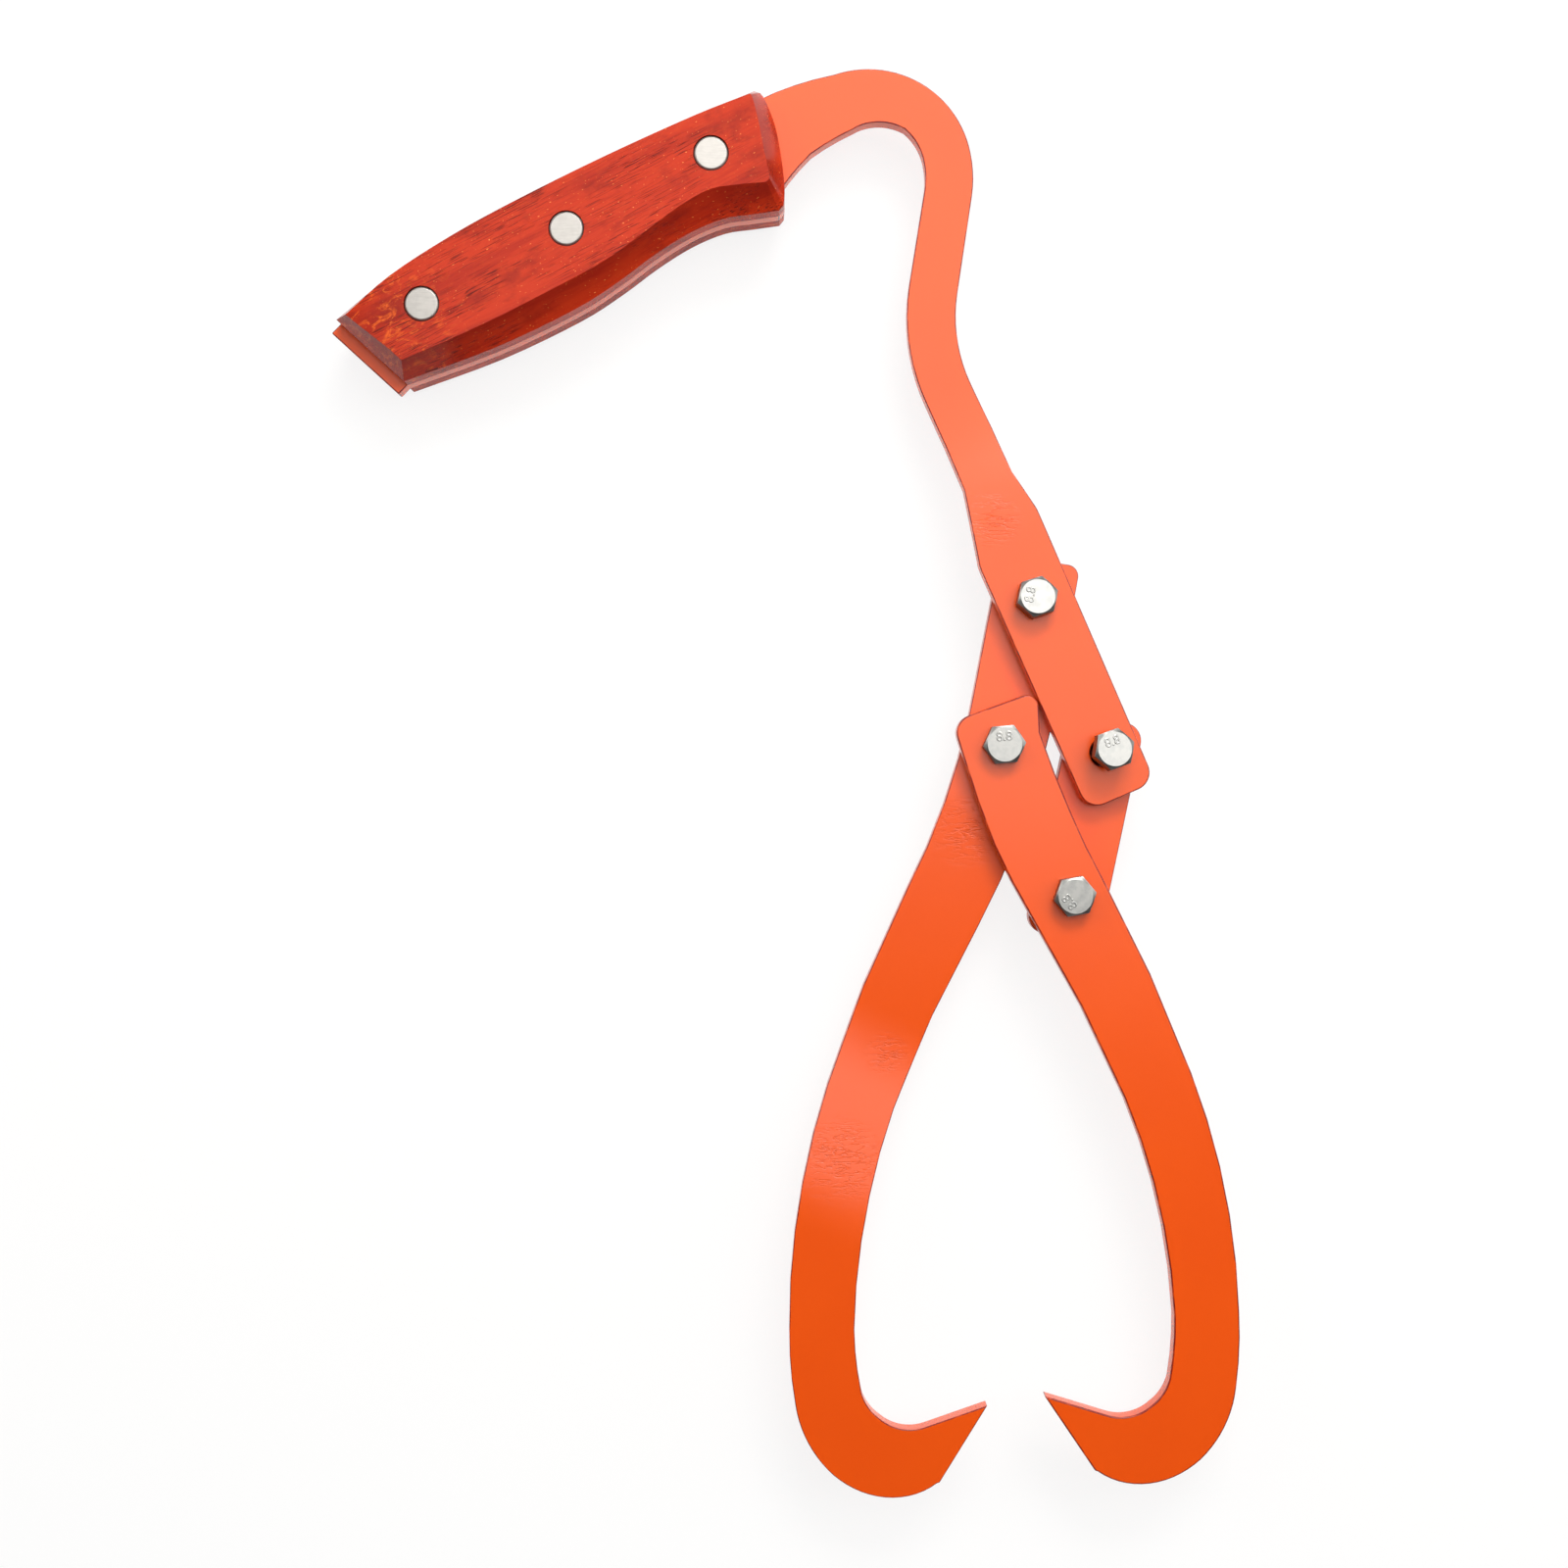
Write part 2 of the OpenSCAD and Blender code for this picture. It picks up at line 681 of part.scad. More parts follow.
module scale_block(seat, out) {
    points = concat(
        ring_at(wall_ring, seat - out * through),
        ring_at(wall_ring, seat + out * scale_wall),
        ring_at(past_ring, seat + out * (scale_wall + past_face * bevel_rise))
    );
    intersection() {
        polyhedron(
            points = points,
            faces = out > 0 ? scale_faces : [for (f = scale_faces) backwards(f)],
            convexity = 6
        );
        translate([grip_hub[0], grip_hub[1], seat + out * scale_t / 2])
            cube([2 * reach, 2 * reach, scale_t], center = true);
    }
}
module wooden_scale(seat, out) {
    face = seat + out * scale_t;
    difference() {
        scale_block(seat, out);
        for (p = rivet_spots) {
            hole(p, rivet_sleeve_d + 2 * rivet_gap);
            translate([p[0], p[1], face - out * rivet_head_t / 2 + out * through / 2])
                cylinder(
                    h = rivet_head_t + through,
                    d = rivet_head_d + 2 * rivet_gap,
                    center = true
                );
        }
    }
}
module front_scale() {
    color(stained_wood)
        placed()
            wooden_scale(back_high, 1);
}
module rear_scale() {
    color(stained_wood)
        placed()
            wooden_scale(back_low, -1);
}

// Rivets: a headed sleeve from the front and a headed post from the rear
front_seat = back_high + scale_t - rivet_head_t;
rear_seat = back_low - scale_t + rivet_head_t;
rivet_edge = 0.5;
sleeve_len = front_seat - back_low + scale_t / 2;
post_len = front_seat - rear_seat - through;
module rivet_head() {
    cylinder(h = rivet_head_t - rivet_edge, d = rivet_head_d);
    translate([0, 0, rivet_head_t - rivet_edge])
        cylinder(h = rivet_edge, d1 = rivet_head_d, d2 = rivet_head_d - 2 * rivet_edge);
}
module rivet_sleeve(p) {
    color(bright_rivet)
        placed()
            translate([p[0], p[1], front_seat])
                difference() {
                    union() {
                        rivet_head();
                        translate([0, 0, -sleeve_len])
                            cylinder(h = sleeve_len + through / 2, d = rivet_sleeve_d);
                    }
                    translate([0, 0, -sleeve_len - through])
                        cylinder(
                            h = sleeve_len + through / 2,
                            d = rivet_post_d + 2 * thread_gap
                        );
                }
}
module rivet_post(p) {
    color(bright_rivet)
        placed()
            translate([p[0], p[1], rear_seat])
                rotate([180, 0, 0]) {
                    rivet_head();
                    translate([0, 0, -post_len])
                        cylinder(h = post_len + through / 2, d = rivet_post_d);
                }
}
module rivet_sleeve_butt() {
    rivet_sleeve(rivet_spots[0]);
}
module rivet_sleeve_middle() {
    rivet_sleeve(rivet_spots[1]);
}
module rivet_sleeve_front() {
    rivet_sleeve(rivet_spots[2]);
}
module rivet_post_butt() {
    rivet_post(rivet_spots[0]);
}
module rivet_post_middle() {
    rivet_post(rivet_spots[1]);
}
module rivet_post_front() {
    rivet_post(rivet_spots[2]);
}

// Bolts and lock nuts
hex_d = hex_af / cos(30);
head_chamfer = (hex_d - head_flat_d) / 2 * tan(30);
bolt_end_chamfer = 0.8;
nut_bore_d = bolt_d + 2 * thread_gap;
collar_d = hex_af - 0.8;
collar_lip = 0.5;
ring_d = collar_d - 1.6;
ring_gap = 0.05;
module hex_bar(h) {
    cylinder(h = h, d = hex_d, $fn = 6);
}
module bolt() {
    intersection() {
        hex_bar(head_h);
        union() {
            cylinder(h = head_h - head_chamfer, d = hex_d + through);
            translate([0, 0, head_h - head_chamfer - through / 2 * tan(30)])
                cylinder(
                    h = head_chamfer + through / 2 * tan(30),
                    d1 = hex_d + through,
                    d2 = head_flat_d
                );
        }
    }
    translate([0, 0, -bolt_len + bolt_end_chamfer])
        cylinder(h = bolt_len - bolt_end_chamfer + through, d = bolt_d);
    translate([0, 0, -bolt_len])
        cylinder(h = bolt_end_chamfer, d1 = bolt_d - 2 * bolt_end_chamfer, d2 = bolt_d);
}
// The nut hangs below its seat, with the collar lowest
module nut() {
    difference() {
        union() {
            translate([0, 0, -nut_h])
                hex_bar(nut_h);
            translate([0, 0, -nut_h - collar_h + collar_lip])
                cylinder(h = collar_h - collar_lip + through, d = collar_d);
            translate([0, 0, -nut_h - collar_h])
                cylinder(h = collar_lip, d1 = collar_d - 2 * collar_lip, d2 = collar_d);
        }
        translate([0, 0, -nut_h - collar_h - through])
            cylinder(h = nut_h + collar_h + 2 * through, d = nut_bore_d);
        translate([0, 0, -nut_h - collar_h - through])
            cylinder(h = collar_h + through, d = ring_d);
    }
}
module lock_ring() {
    translate([0, 0, -nut_h - collar_h + collar_lip / 2])
        difference() {
            cylinder(h = collar_h - collar_lip / 2, d = ring_d - 2 * ring_gap);
            translate([0, 0, -through])
                cylinder(h = collar_h + 2 * through, d = nut_bore_d);
        }
}

// The bolts at the top and side pivots are loose and lean in their holes
top_lean_heading = 62;
side_lean_heading = 28;
module leaning(lean, toward) {
    rotate([0, 0, toward])
        rotate([0, lean, 0])
            rotate([0, 0, -toward])
                children();
}
module top_axis() {
    at_pivot(top_pivot)
        leaning(top_bolt_lean, top_lean_heading)
            children();
}
module side_axis() {
    at_pivot(side_pivot)
        leaning(side_bolt_lean, side_lean_heading)
            children();
}
centre_stand_off = 0.1;
lower_stand_off = 0.3;
loose_nut_gap = 1;
// Turn of each bolt head's hexagon
top_head_turn = 18;
side_head_turn = 20;
centre_head_turn = 5;
lower_head_turn = 10;
module bolt_top() {
    color(zinc)
        top_axis()
            translate([0, 0, front_high + top_stand_off])
                rotate([0, 0, top_head_turn])
                    bolt();
}
module bolt_side() {
    color(zinc)
        side_axis()
            translate([0, 0, front_high + side_stand_off])
                rotate([0, 0, side_head_turn])
                    bolt();
}
module bolt_centre() {
    color(zinc)
        at_pivot(centre_pivot)
            translate([0, 0, front_high + centre_stand_off])
                rotate([0, 0, centre_head_turn])
                    bolt();
}
module bolt_lower() {
    color(zinc)
        at_pivot(lower_pivot)
            translate([0, 0, front_high + lower_stand_off])
                rotate([0, 0, lower_head_turn])
                    bolt();
}
module nut_top() {
    color(zinc)
        top_axis()
            translate([0, 0, back_low - loose_nut_gap])
                nut();
}
module nut_side() {
    color(zinc)
        side_axis()
            translate([0, 0, back_low - loose_nut_gap])
                nut();
}
module nut_centre() {
    color(zinc)
        at_pivot(centre_pivot)
            translate([0, 0, back_low - seat_gap])
                nut();
}
module nut_lower() {
    color(zinc)
        at_pivot(lower_pivot)
            translate([0, 0, back_low - seat_gap])
                nut();
}
module lock_ring_top() {
    color(nylon)
        top_axis()
            translate([0, 0, back_low - loose_nut_gap])
                lock_ring();
}
module lock_ring_side() {
    color(nylon)
        side_axis()
            translate([0, 0, back_low - loose_nut_gap])
                lock_ring();
}
module lock_ring_centre() {
    color(nylon)
        at_pivot(centre_pivot)
            translate([0, 0, back_low - seat_gap])
                lock_ring();
}
module lock_ring_lower() {
    color(nylon)
        at_pivot(lower_pivot)
            translate([0, 0, back_low - seat_gap])
                lock_ring();
}

handle_bar();
front_scale();
rear_scale();
rivet_sleeve_butt();
rivet_sleeve_middle();
rivet_sleeve_front();
rivet_post_butt();
rivet_post_middle();
rivet_post_front();
left_jaw();
right_jaw();
link();
bolt_top();
bolt_side();
bolt_centre();
bolt_lower();
nut_top();
nut_side();
nut_centre();
nut_lower();
lock_ring_top();
lock_ring_side();
lock_ring_centre();
lock_ring_lower();
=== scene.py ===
# %% [markdown]
# # Log tongs
# Two hooked steel jaws hang on four bolts from a hooked bar with a riveted wooden grip.
# The measured shapes come from the workshop model, so nothing is measured twice here.
# This lesson gives them their finish: powder-coated steel, stained and lacquered wood,
# satin rivets and zinc-plated bolts, on white paper under soft light.

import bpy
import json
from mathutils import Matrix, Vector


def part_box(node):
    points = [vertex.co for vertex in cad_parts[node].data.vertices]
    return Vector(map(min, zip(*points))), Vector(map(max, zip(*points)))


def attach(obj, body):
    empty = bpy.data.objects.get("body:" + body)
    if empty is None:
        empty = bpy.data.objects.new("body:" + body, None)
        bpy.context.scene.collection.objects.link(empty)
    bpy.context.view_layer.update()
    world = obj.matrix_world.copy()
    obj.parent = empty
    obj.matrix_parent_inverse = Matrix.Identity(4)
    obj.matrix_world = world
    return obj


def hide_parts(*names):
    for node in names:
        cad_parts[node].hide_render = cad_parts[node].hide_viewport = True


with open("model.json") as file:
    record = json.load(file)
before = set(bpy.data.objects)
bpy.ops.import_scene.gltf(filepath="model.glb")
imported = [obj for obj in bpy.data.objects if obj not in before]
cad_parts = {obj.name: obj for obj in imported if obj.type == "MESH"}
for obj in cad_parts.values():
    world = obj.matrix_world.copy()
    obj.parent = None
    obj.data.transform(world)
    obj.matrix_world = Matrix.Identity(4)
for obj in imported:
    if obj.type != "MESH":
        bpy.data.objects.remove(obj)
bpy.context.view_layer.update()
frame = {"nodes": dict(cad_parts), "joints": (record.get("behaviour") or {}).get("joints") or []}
print("measured pieces:", len(frame["nodes"]))

# %% [markdown]
# ## Working units and small tools
# The tongs are measured in millimetres, while Blender works in metres, so every length
# is written with MM. A few short helpers make an object, bake its modifiers into a plain
# mesh and report its corners, so the later cells stay easy to read.

# %% Units and helpers
import json
import math

import bmesh
import bpy
from mathutils import Matrix, Vector

MM = 0.001


def keep_object(name, mesh):
    piece = bpy.data.objects.new(name, mesh)
    bpy.context.scene.collection.objects.link(piece)
    return piece


def finished_mesh(piece):
    """The mesh that a piece's modifiers make."""
    graph = bpy.context.evaluated_depsgraph_get()
    return bpy.data.meshes.new_from_object(piece.evaluated_get(graph), depsgraph=graph)


def corners(piece):
    spots = [v.co for v in piece.data.vertices]
    low = [min(s[i] for s in spots) / MM for i in range(3)]
    high = [max(s[i] for s in spots) / MM for i in range(3)]
    return [round(v, 1) for v in low], [round(v, 1) for v in high]


print("one millimetre is", MM, "m")

# %% [markdown]
# ## Helpers for the finishes
# A finish could be wired by hand in the shader editor. Written as code it can be read,
# changed and built again. These helpers add one node at a time and wire it, so a finish
# reads from top to bottom like a recipe.

# %% Node helpers
def join(tree, socket, value):
    if isinstance(value, bpy.types.NodeSocket):
        tree.links.new(value, socket)
    else:
        socket.default_value = value


def add_node(tree, kind, inputs=None, **settings):
    made = tree.nodes.new(kind)
    for name, value in settings.items():
        setattr(made, name, value)
    for key, value in (inputs or {}).items():
        join(tree, made.inputs[key], value)
    return made


def calc(tree, operation, *values):
    made = add_node(tree, "ShaderNodeMath", operation=operation)
    for socket, value in zip(made.inputs, values):
        join(tree, socket, value)
    return made.outputs[0]


def tint(tree, amount, below, above):
    made = add_node(tree, "ShaderNodeMix", data_type="RGBA")
    join(tree, made.inputs[0], amount)
    join(tree, made.inputs[6], below)
    join(tree, made.inputs[7], above)
    return made.outputs[2]


def rise(tree, value, low, high, start=0.0, end=1.0):
    made = add_node(tree, "ShaderNodeMapRange", interpolation_type="SMOOTHSTEP")
    for socket, amount in zip(made.inputs, (value, low, high, start, end)):
        join(tree, socket, amount)
    return made.outputs[0]


def multiplied(tree, vector, factors):
    made = add_node(tree, "ShaderNodeVectorMath", operation="MULTIPLY")
    join(tree, made.inputs[0], vector)
    made.inputs[1].default_value = factors
    return made.outputs[0]


def cloud(tree, vector, scale, detail=3.0, rough=0.5, warp=0.0):
    made = add_node(tree, "ShaderNodeTexNoise", inputs={
        "Vector": vector, "Scale": scale, "Detail": detail,
        "Roughness": rough, "Distortion": warp,
    })
    return made.outputs["Fac"]


def stretched_cloud(tree, vector, scales, detail=3.0, rough=0.5, warp=0.0):
    """Noise with a scale of its own along each axis."""
    return cloud(tree, multiplied(tree, vector, scales), 1.0, detail, rough, warp)


def new_finish(name, inputs, outputs):
    tree = bpy.data.node_groups.new(name, "ShaderNodeTree")
    for label, kind in inputs:
        tree.interface.new_socket(label, in_out="INPUT", socket_type="NodeSocket" + kind)
    for label, kind in outputs:
        tree.interface.new_socket(label, in_out="OUTPUT", socket_type="NodeSocket" + kind)
    start = tree.nodes.new("NodeGroupInput").outputs
    end = tree.nodes.new("NodeGroupOutput").inputs
    return tree, start, end


# Nearly all of a noise lies within the span, and most of it within the core.
NOISE_SPAN = (0.3, 0.7)
NOISE_CORE = (0.35, 0.65)
print("finish helpers ready, noise lies within", NOISE_SPAN)

# %% [markdown]
# ## Powder coat
# Orange powder is sprayed on the steel and baked until it flows out glossy. It keeps a
# faint orange peel and shows wrinkles where the plate under it was bent. Its edges and the
# lines of its wrinkles are darker in colour: painted shade. A painted picture would need
# unwrapping and would blur close up, so noise on the object's own coordinates does it
# here. The mask "edge" comes from the rounded edges.

# %% Powder coat: colour
PAINT_ORANGE = (0.80, 0.086, 0.0018, 1.0)
PAINT_DEEP = (0.76, 0.074, 0.0015, 1.0)
CLOUD_SCALE = 38.0
SPECKLE_SCALE = 2200.0
CLOUD_LEVELS = (0.10, 0.90)
CLOUD_SHARE = 0.6
SPECKLE_SHARE = 0.25

coat, coat_in, coat_out = new_finish(
    "powder coat",
    [("Place", "Vector"), ("Edge", "Float"), ("Wrinkles", "Float")],
    [("Colour", "Color"), ("Chips", "Float"), ("Height", "Float")],
)
clouds = cloud(coat, coat_in["Place"], CLOUD_SCALE, detail=1.0)
speckle = cloud(coat, coat_in["Place"], SPECKLE_SCALE, detail=2.0)
clouds = rise(coat, clouds, *CLOUD_LEVELS, end=CLOUD_SHARE)
uneven = calc(coat, "ADD", clouds, calc(coat, "MULTIPLY", speckle, SPECKLE_SHARE))
colour = tint(coat, uneven, PAINT_ORANGE, PAINT_DEEP)
print("paint mixed from", PAINT_ORANGE[:3], "and", PAINT_DEEP[:3])

# %% [markdown]
# ### Wrinkles
# Where the plate was bent, its skin shows fine wrinkles through the paint. They could be
# cut into the mesh, but they are far finer than its faces, so they are a bump, and their
# lines get painted shade as if shade lay in the creases. A wrinkle lies where a noise
# crosses its middle value. The noise is squeezed along the plate, so the lines run
# across it.

# %% Powder coat: wrinkles
# Painted shade: a dark red that darkens the paint's edges and the lines of its wrinkles.
PAINTED_SHADE = (0.24, 0.011, 0.002, 1.0)
WRINKLE_SCALES = (190.0, 800.0, 230.0)
NOISE_MIDDLE = 0.5
WRINKLE_WIDTH = 0.055
WRINKLE_SHADE = 0.18

crease = stretched_cloud(
    coat, coat_in["Place"], WRINKLE_SCALES, detail=4.0, rough=0.55, warp=0.35
)
crease = calc(coat, "ABSOLUTE", calc(coat, "SUBTRACT", crease, NOISE_MIDDLE))
crease = rise(coat, crease, 0.0, WRINKLE_WIDTH, start=1.0, end=0.0)
crease = calc(coat, "MULTIPLY", crease, coat_in["Wrinkles"])
# Painted shade in the creases: the wrinkle lines are darkened in colour.
colour = tint(coat, calc(coat, "MULTIPLY", crease, WRINKLE_SHADE), colour, PAINTED_SHADE)
print("wrinkles darken the paint by", WRINKLE_SHADE)

# %% [markdown]
# ### Shaded edges, chips and peel
# The rounded edges get painted shade, deeper in some patches than others, and handling
# chips the paint down to the steel in a few places. Both lie on the mask "edge" alone.
# Orange peel is the faint ripple that baked powder keeps all over.

# %% Powder coat: edges, chips and peel
BARE_STEEL = (0.20, 0.16, 0.14, 1.0)
PATCH_SCALE = 240.0
PATCH_LEVELS = (0.30, 0.55)
LEAST_EDGE_SHADE = 0.45
CHIP_SCALE = 620.0
CHIP_LEVELS = (0.715, 0.735)
CHIP_DEPTH = 0.5
PEEL_SCALE = 520.0
PEEL_DEPTH = 0.10

patchy = cloud(coat, coat_in["Place"], PATCH_SCALE)
patchy = rise(coat, patchy, *PATCH_LEVELS, start=LEAST_EDGE_SHADE)
# Painted shade along the rounded edges, deeper in some patches than others.
edge_shade = calc(coat, "MULTIPLY", coat_in["Edge"], patchy)
colour = tint(coat, edge_shade, colour, PAINTED_SHADE)
chips = rise(coat, cloud(coat, coat_in["Place"], CHIP_SCALE), *CHIP_LEVELS)
chips = calc(coat, "MULTIPLY", chips, coat_in["Edge"])
join(coat, coat_out["Colour"], tint(coat, chips, colour, BARE_STEEL))
join(coat, coat_out["Chips"], chips)
peel = cloud(coat, coat_in["Place"], PEEL_SCALE, detail=2.0, rough=0.4)
height = calc(coat, "SUBTRACT", calc(coat, "MULTIPLY", peel, PEEL_DEPTH), crease)
height = calc(coat, "SUBTRACT", height, calc(coat, "MULTIPLY", chips, CHIP_DEPTH))
join(coat, coat_out["Height"], height)
print("powder coat nodes:", len(coat.nodes))

# %% [markdown]
# ## Painted materials
# Each plate has a material of its own, because its wrinkles lie at its own bends. The
# walls of a sprayed plate stay glossier than its rubbed faces, so the clear coat is led
# by how level a face is.

# %% Masks for the paint
def place_of(tree):
    return add_node(tree, "ShaderNodeTexCoord").outputs["Object"]


def wrinkles_at(tree, place, spots):
    """A mask round each bend, from its middle and its reach, in millimetres."""
    flat_place = multiplied(tree, place, (1.0, 1.0, 0.0))
    total = 0.0
    for x, y, reach in spots:
        away = add_node(tree, "ShaderNodeVectorMath", operation="DISTANCE")
        join(tree, away.inputs[0], flat_place)
        away.inputs[1].default_value = (x * MM, y * MM, 0.0)
        mask = rise(tree, away.outputs["Value"], 0.0, reach * MM, start=1.0, end=0.0)
        total = calc(tree, "ADD", total, mask)
    return total


def new_material(name):
    material = bpy.data.materials.new(name)
    material.use_nodes = True
    return material, material.node_tree, material.node_tree.nodes["Principled BSDF"]


def bump_from(tree, height, strength, distance):
    """Bump from a height, with its full rise in millimetres."""
    bump = add_node(tree, "ShaderNodeBump", inputs={
        "Strength": strength, "Distance": distance * MM, "Height": height,
    })
    return bump.outputs["Normal"]


def how_level(tree):
    """1 on a face that looks straight up or down, 0 on a wall."""
    facing = add_node(tree, "ShaderNodeSeparateXYZ")
    join(tree, facing.inputs[0], add_node(tree, "ShaderNodeTexCoord").outputs["Normal"])
    return calc(tree, "ABSOLUTE", facing.outputs["Z"])


print("masks ready: place, wrinkles, level")

# %% Paint one plate
PAINT_ROUGHNESS = 0.265
WALL_LEVELS = (0.15, 0.6)
WALL_GLOSS = 0.25
WALL_GLOSS_ROUGHNESS = 0.12
BUMP_STRENGTH = 0.5
PAINT_BUMP = 0.12


def painted_steel(name, spots=()):
    material, tree, skin = new_material(name)
    place = place_of(tree)
    edge = add_node(tree, "ShaderNodeAttribute", attribute_name="edge").outputs["Fac"]
    recipe = add_node(tree, "ShaderNodeGroup", node_tree=coat)
    join(tree, recipe.inputs["Place"], place)
    join(tree, recipe.inputs["Edge"], edge)
    if spots:
        join(tree, recipe.inputs["Wrinkles"], wrinkles_at(tree, place, spots))
    join(tree, skin.inputs["Base Color"], recipe.outputs["Colour"])
    skin.inputs["Roughness"].default_value = PAINT_ROUGHNESS
    join(tree, skin.inputs["Metallic"], recipe.outputs["Chips"])
    bump = bump_from(tree, recipe.outputs["Height"], BUMP_STRENGTH, PAINT_BUMP)
    join(tree, skin.inputs["Normal"], bump)
    wall_gloss = rise(tree, how_level(tree), *WALL_LEVELS, start=WALL_GLOSS, end=0.0)
    join(tree, skin.inputs["Coat Weight"], wall_gloss)
    skin.inputs["Coat Roughness"].default_value = WALL_GLOSS_ROUGHNESS
    return material


bar_paint = painted_steel("handle bar paint", [(57, 70, 10)])
left_paint = painted_steel("left jaw paint", [(50, -14, 13), (28, -75, 8), (16, -103, 15)])
right_paint = painted_steel("right jaw paint")
link_paint = painted_steel("link paint")
print("painted:", bar_paint.name, left_paint.name, right_paint.name, link_paint.name)

# %% [markdown]
# ## Steel plates
# The bar, the jaws and the link are cut from flat steel. Cutting and tumbling leave a
# small radius on every edge, and that radius catches the light as a fine line. A shader
# could fake it, but a bevel is real shape and stays in the finished mesh. Each measured
# plate is copied, its flat faces are cleaned, and the bevel rounds its edges.

# %% Merge a measured piece and round its edges
SAME_PLACE = 0.002 * MM
SAME_PLANE = math.radians(0.3)
EDGE_RADIUS = 0.45 * MM


def merged_copy(name, *nodes):
    """One plain mesh from the measured nodes, with its flat faces in one piece each."""
    shape = bmesh.new()
    for node in nodes:
        shape.from_mesh(frame["nodes"][node].data)
    bmesh.ops.remove_doubles(shape, verts=shape.verts, dist=SAME_PLACE)
    bmesh.ops.dissolve_limit(
        shape, angle_limit=SAME_PLANE, verts=shape.verts, edges=shape.edges
    )
    bmesh.ops.recalc_face_normals(shape, faces=shape.faces)
    mesh = bpy.data.meshes.new(name)
    shape.to_mesh(mesh)
    shape.free()
    mesh.materials.clear()
    return keep_object(name, mesh)


def round_edges(piece, radius, steps=2, sharper_than=28.0):
    """Rounds the sharp edges and marks the new faces with the mask "edge"."""
    for label in ("face", "edge"):
        piece.data.materials.append(bpy.data.materials.new(label))
    piece.data.shade_smooth()
    bevel = piece.modifiers.new("rounded edges", "BEVEL")
    bevel.width = radius
    bevel.segments = steps
    bevel.limit_method = "ANGLE"
    bevel.angle_limit = math.radians(sharper_than)
    bevel.miter_outer = "MITER_ARC"
    bevel.material = 1
    weigh = piece.modifiers.new("flat faces stay flat", "WEIGHTED_NORMAL")
    weigh.keep_sharp = True
    mesh = finished_mesh(piece)
    piece.modifiers.clear()
    piece.data = mesh
    mask = mesh.attributes.new("edge", "FLOAT", "FACE")
    for face in mesh.polygons:
        mask.data[face.index].value = float(face.material_index)
        face.material_index = 0
    for label in list(mesh.materials):
        bpy.data.materials.remove(label)
    mesh.materials.clear()
    return piece


def steel_plate(node, body, paint):
    plate = round_edges(merged_copy("painted_" + node, node), EDGE_RADIUS)
    plate.data.materials.append(paint)
    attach(plate, body)
    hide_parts(node)
    print(plate.name, len(plate.data.polygons), "faces", corners(plate))


steel_plate("handle_bar", "handle", bar_paint)
steel_plate("left_jaw", "left_jaw", left_paint)
steel_plate("right_jaw", "right_jaw", right_paint)
steel_plate("link", "link", link_paint)

# %% [markdown]
# ## Wooden scales
# A scale is one half of the grip. Hardwood is sawn, bevelled on a belt, stained red and
# dipped in lacquer. The pattern is noise drawn out far along the grain, in the grip's own
# directions. Wide bands, fine fibre and dark mottle come first.

# %% Stained wood: grain and mottle
WOOD_RED = (0.37, 0.017, 0.004, 1.0)
WOOD_LIGHT = (0.51, 0.031, 0.006, 1.0)
WOOD_DARK = (0.20, 0.008, 0.003, 1.0)
BAND_SCALES = (11.0, 150.0, 150.0)
FIBRE_SCALES = (60.0, 1500.0, 1500.0)
MOTTLE_SCALES = (70.0, 120.0, 120.0)
BAND_SHARE = 0.75
GRAIN_LEVELS = (0.36, 0.56)
MOTTLE_LEVELS = (0.50, 0.70)
MOTTLE_SHARE = 0.6

wood, wood_in, wood_out = new_finish(
    "stained wood",
    [("Place", "Vector"), ("Slope", "Float"), ("Edge", "Float")],
    [("Colour", "Color"), ("Roughness", "Float"), ("Height", "Float")],
)
here = wood_in["Place"]
bands = stretched_cloud(wood, here, BAND_SCALES, detail=5.0, rough=0.55, warp=0.6)
fibre = stretched_cloud(wood, here, FIBRE_SCALES, rough=0.6)
mottle = stretched_cloud(wood, here, MOTTLE_SCALES, detail=4.0, rough=0.65)
grain = calc(
    wood, "ADD", calc(wood, "MULTIPLY", bands, BAND_SHARE),
    calc(wood, "MULTIPLY", fibre, 1.0 - BAND_SHARE),
)
colour = tint(wood, rise(wood, grain, *GRAIN_LEVELS), WOOD_RED, WOOD_LIGHT)
dark = rise(wood, mottle, *MOTTLE_LEVELS, end=MOTTLE_SHARE)
colour = tint(wood, dark, colour, WOOD_DARK)
print("grain from bands", BAND_SHARE, "and fibre", 1.0 - BAND_SHARE)

# %% [markdown]
# ### Flames, flecks and pores
# Near the butt the wood is figured: orange flames lie in darker wood. Golden flecks are
# spots where the stain did not take. Pores are the cut vessels of the tree, so they are
# short dark strokes along the grain, in rows.

# %% Stained wood: flames, flecks and pores
WOOD_FLAME = (0.82, 0.13, 0.012, 1.0)
WOOD_GOLD = (0.90, 0.26, 0.060, 1.0)
PORE = (0.085, 0.006, 0.003, 1.0)
FLAME_SCALES = (230.0, 420.0, 420.0)
FLAME_LEVELS = (0.50, 0.68)
FLECK_SCALES = (1100.0, 2000.0, 2000.0)
FLECK_LEVELS = (0.675, 0.74)
FLECK_SHARE = 0.8
PORE_SCALES = (150.0, 3600.0, 3600.0)
PORE_LEVELS = (0.575, 0.64)
PORE_SHARE = 0.85
ROW_SCALES = (30.0, 120.0, 120.0)
ROW_LEVELS = (0.36, 0.62)
FIGURE_START = -30.0 * MM
FIGURE_FULL = -58.0 * MM
FIGURE_SHARES = (0.06, 0.85)
BUTT_DARKER = 0.22

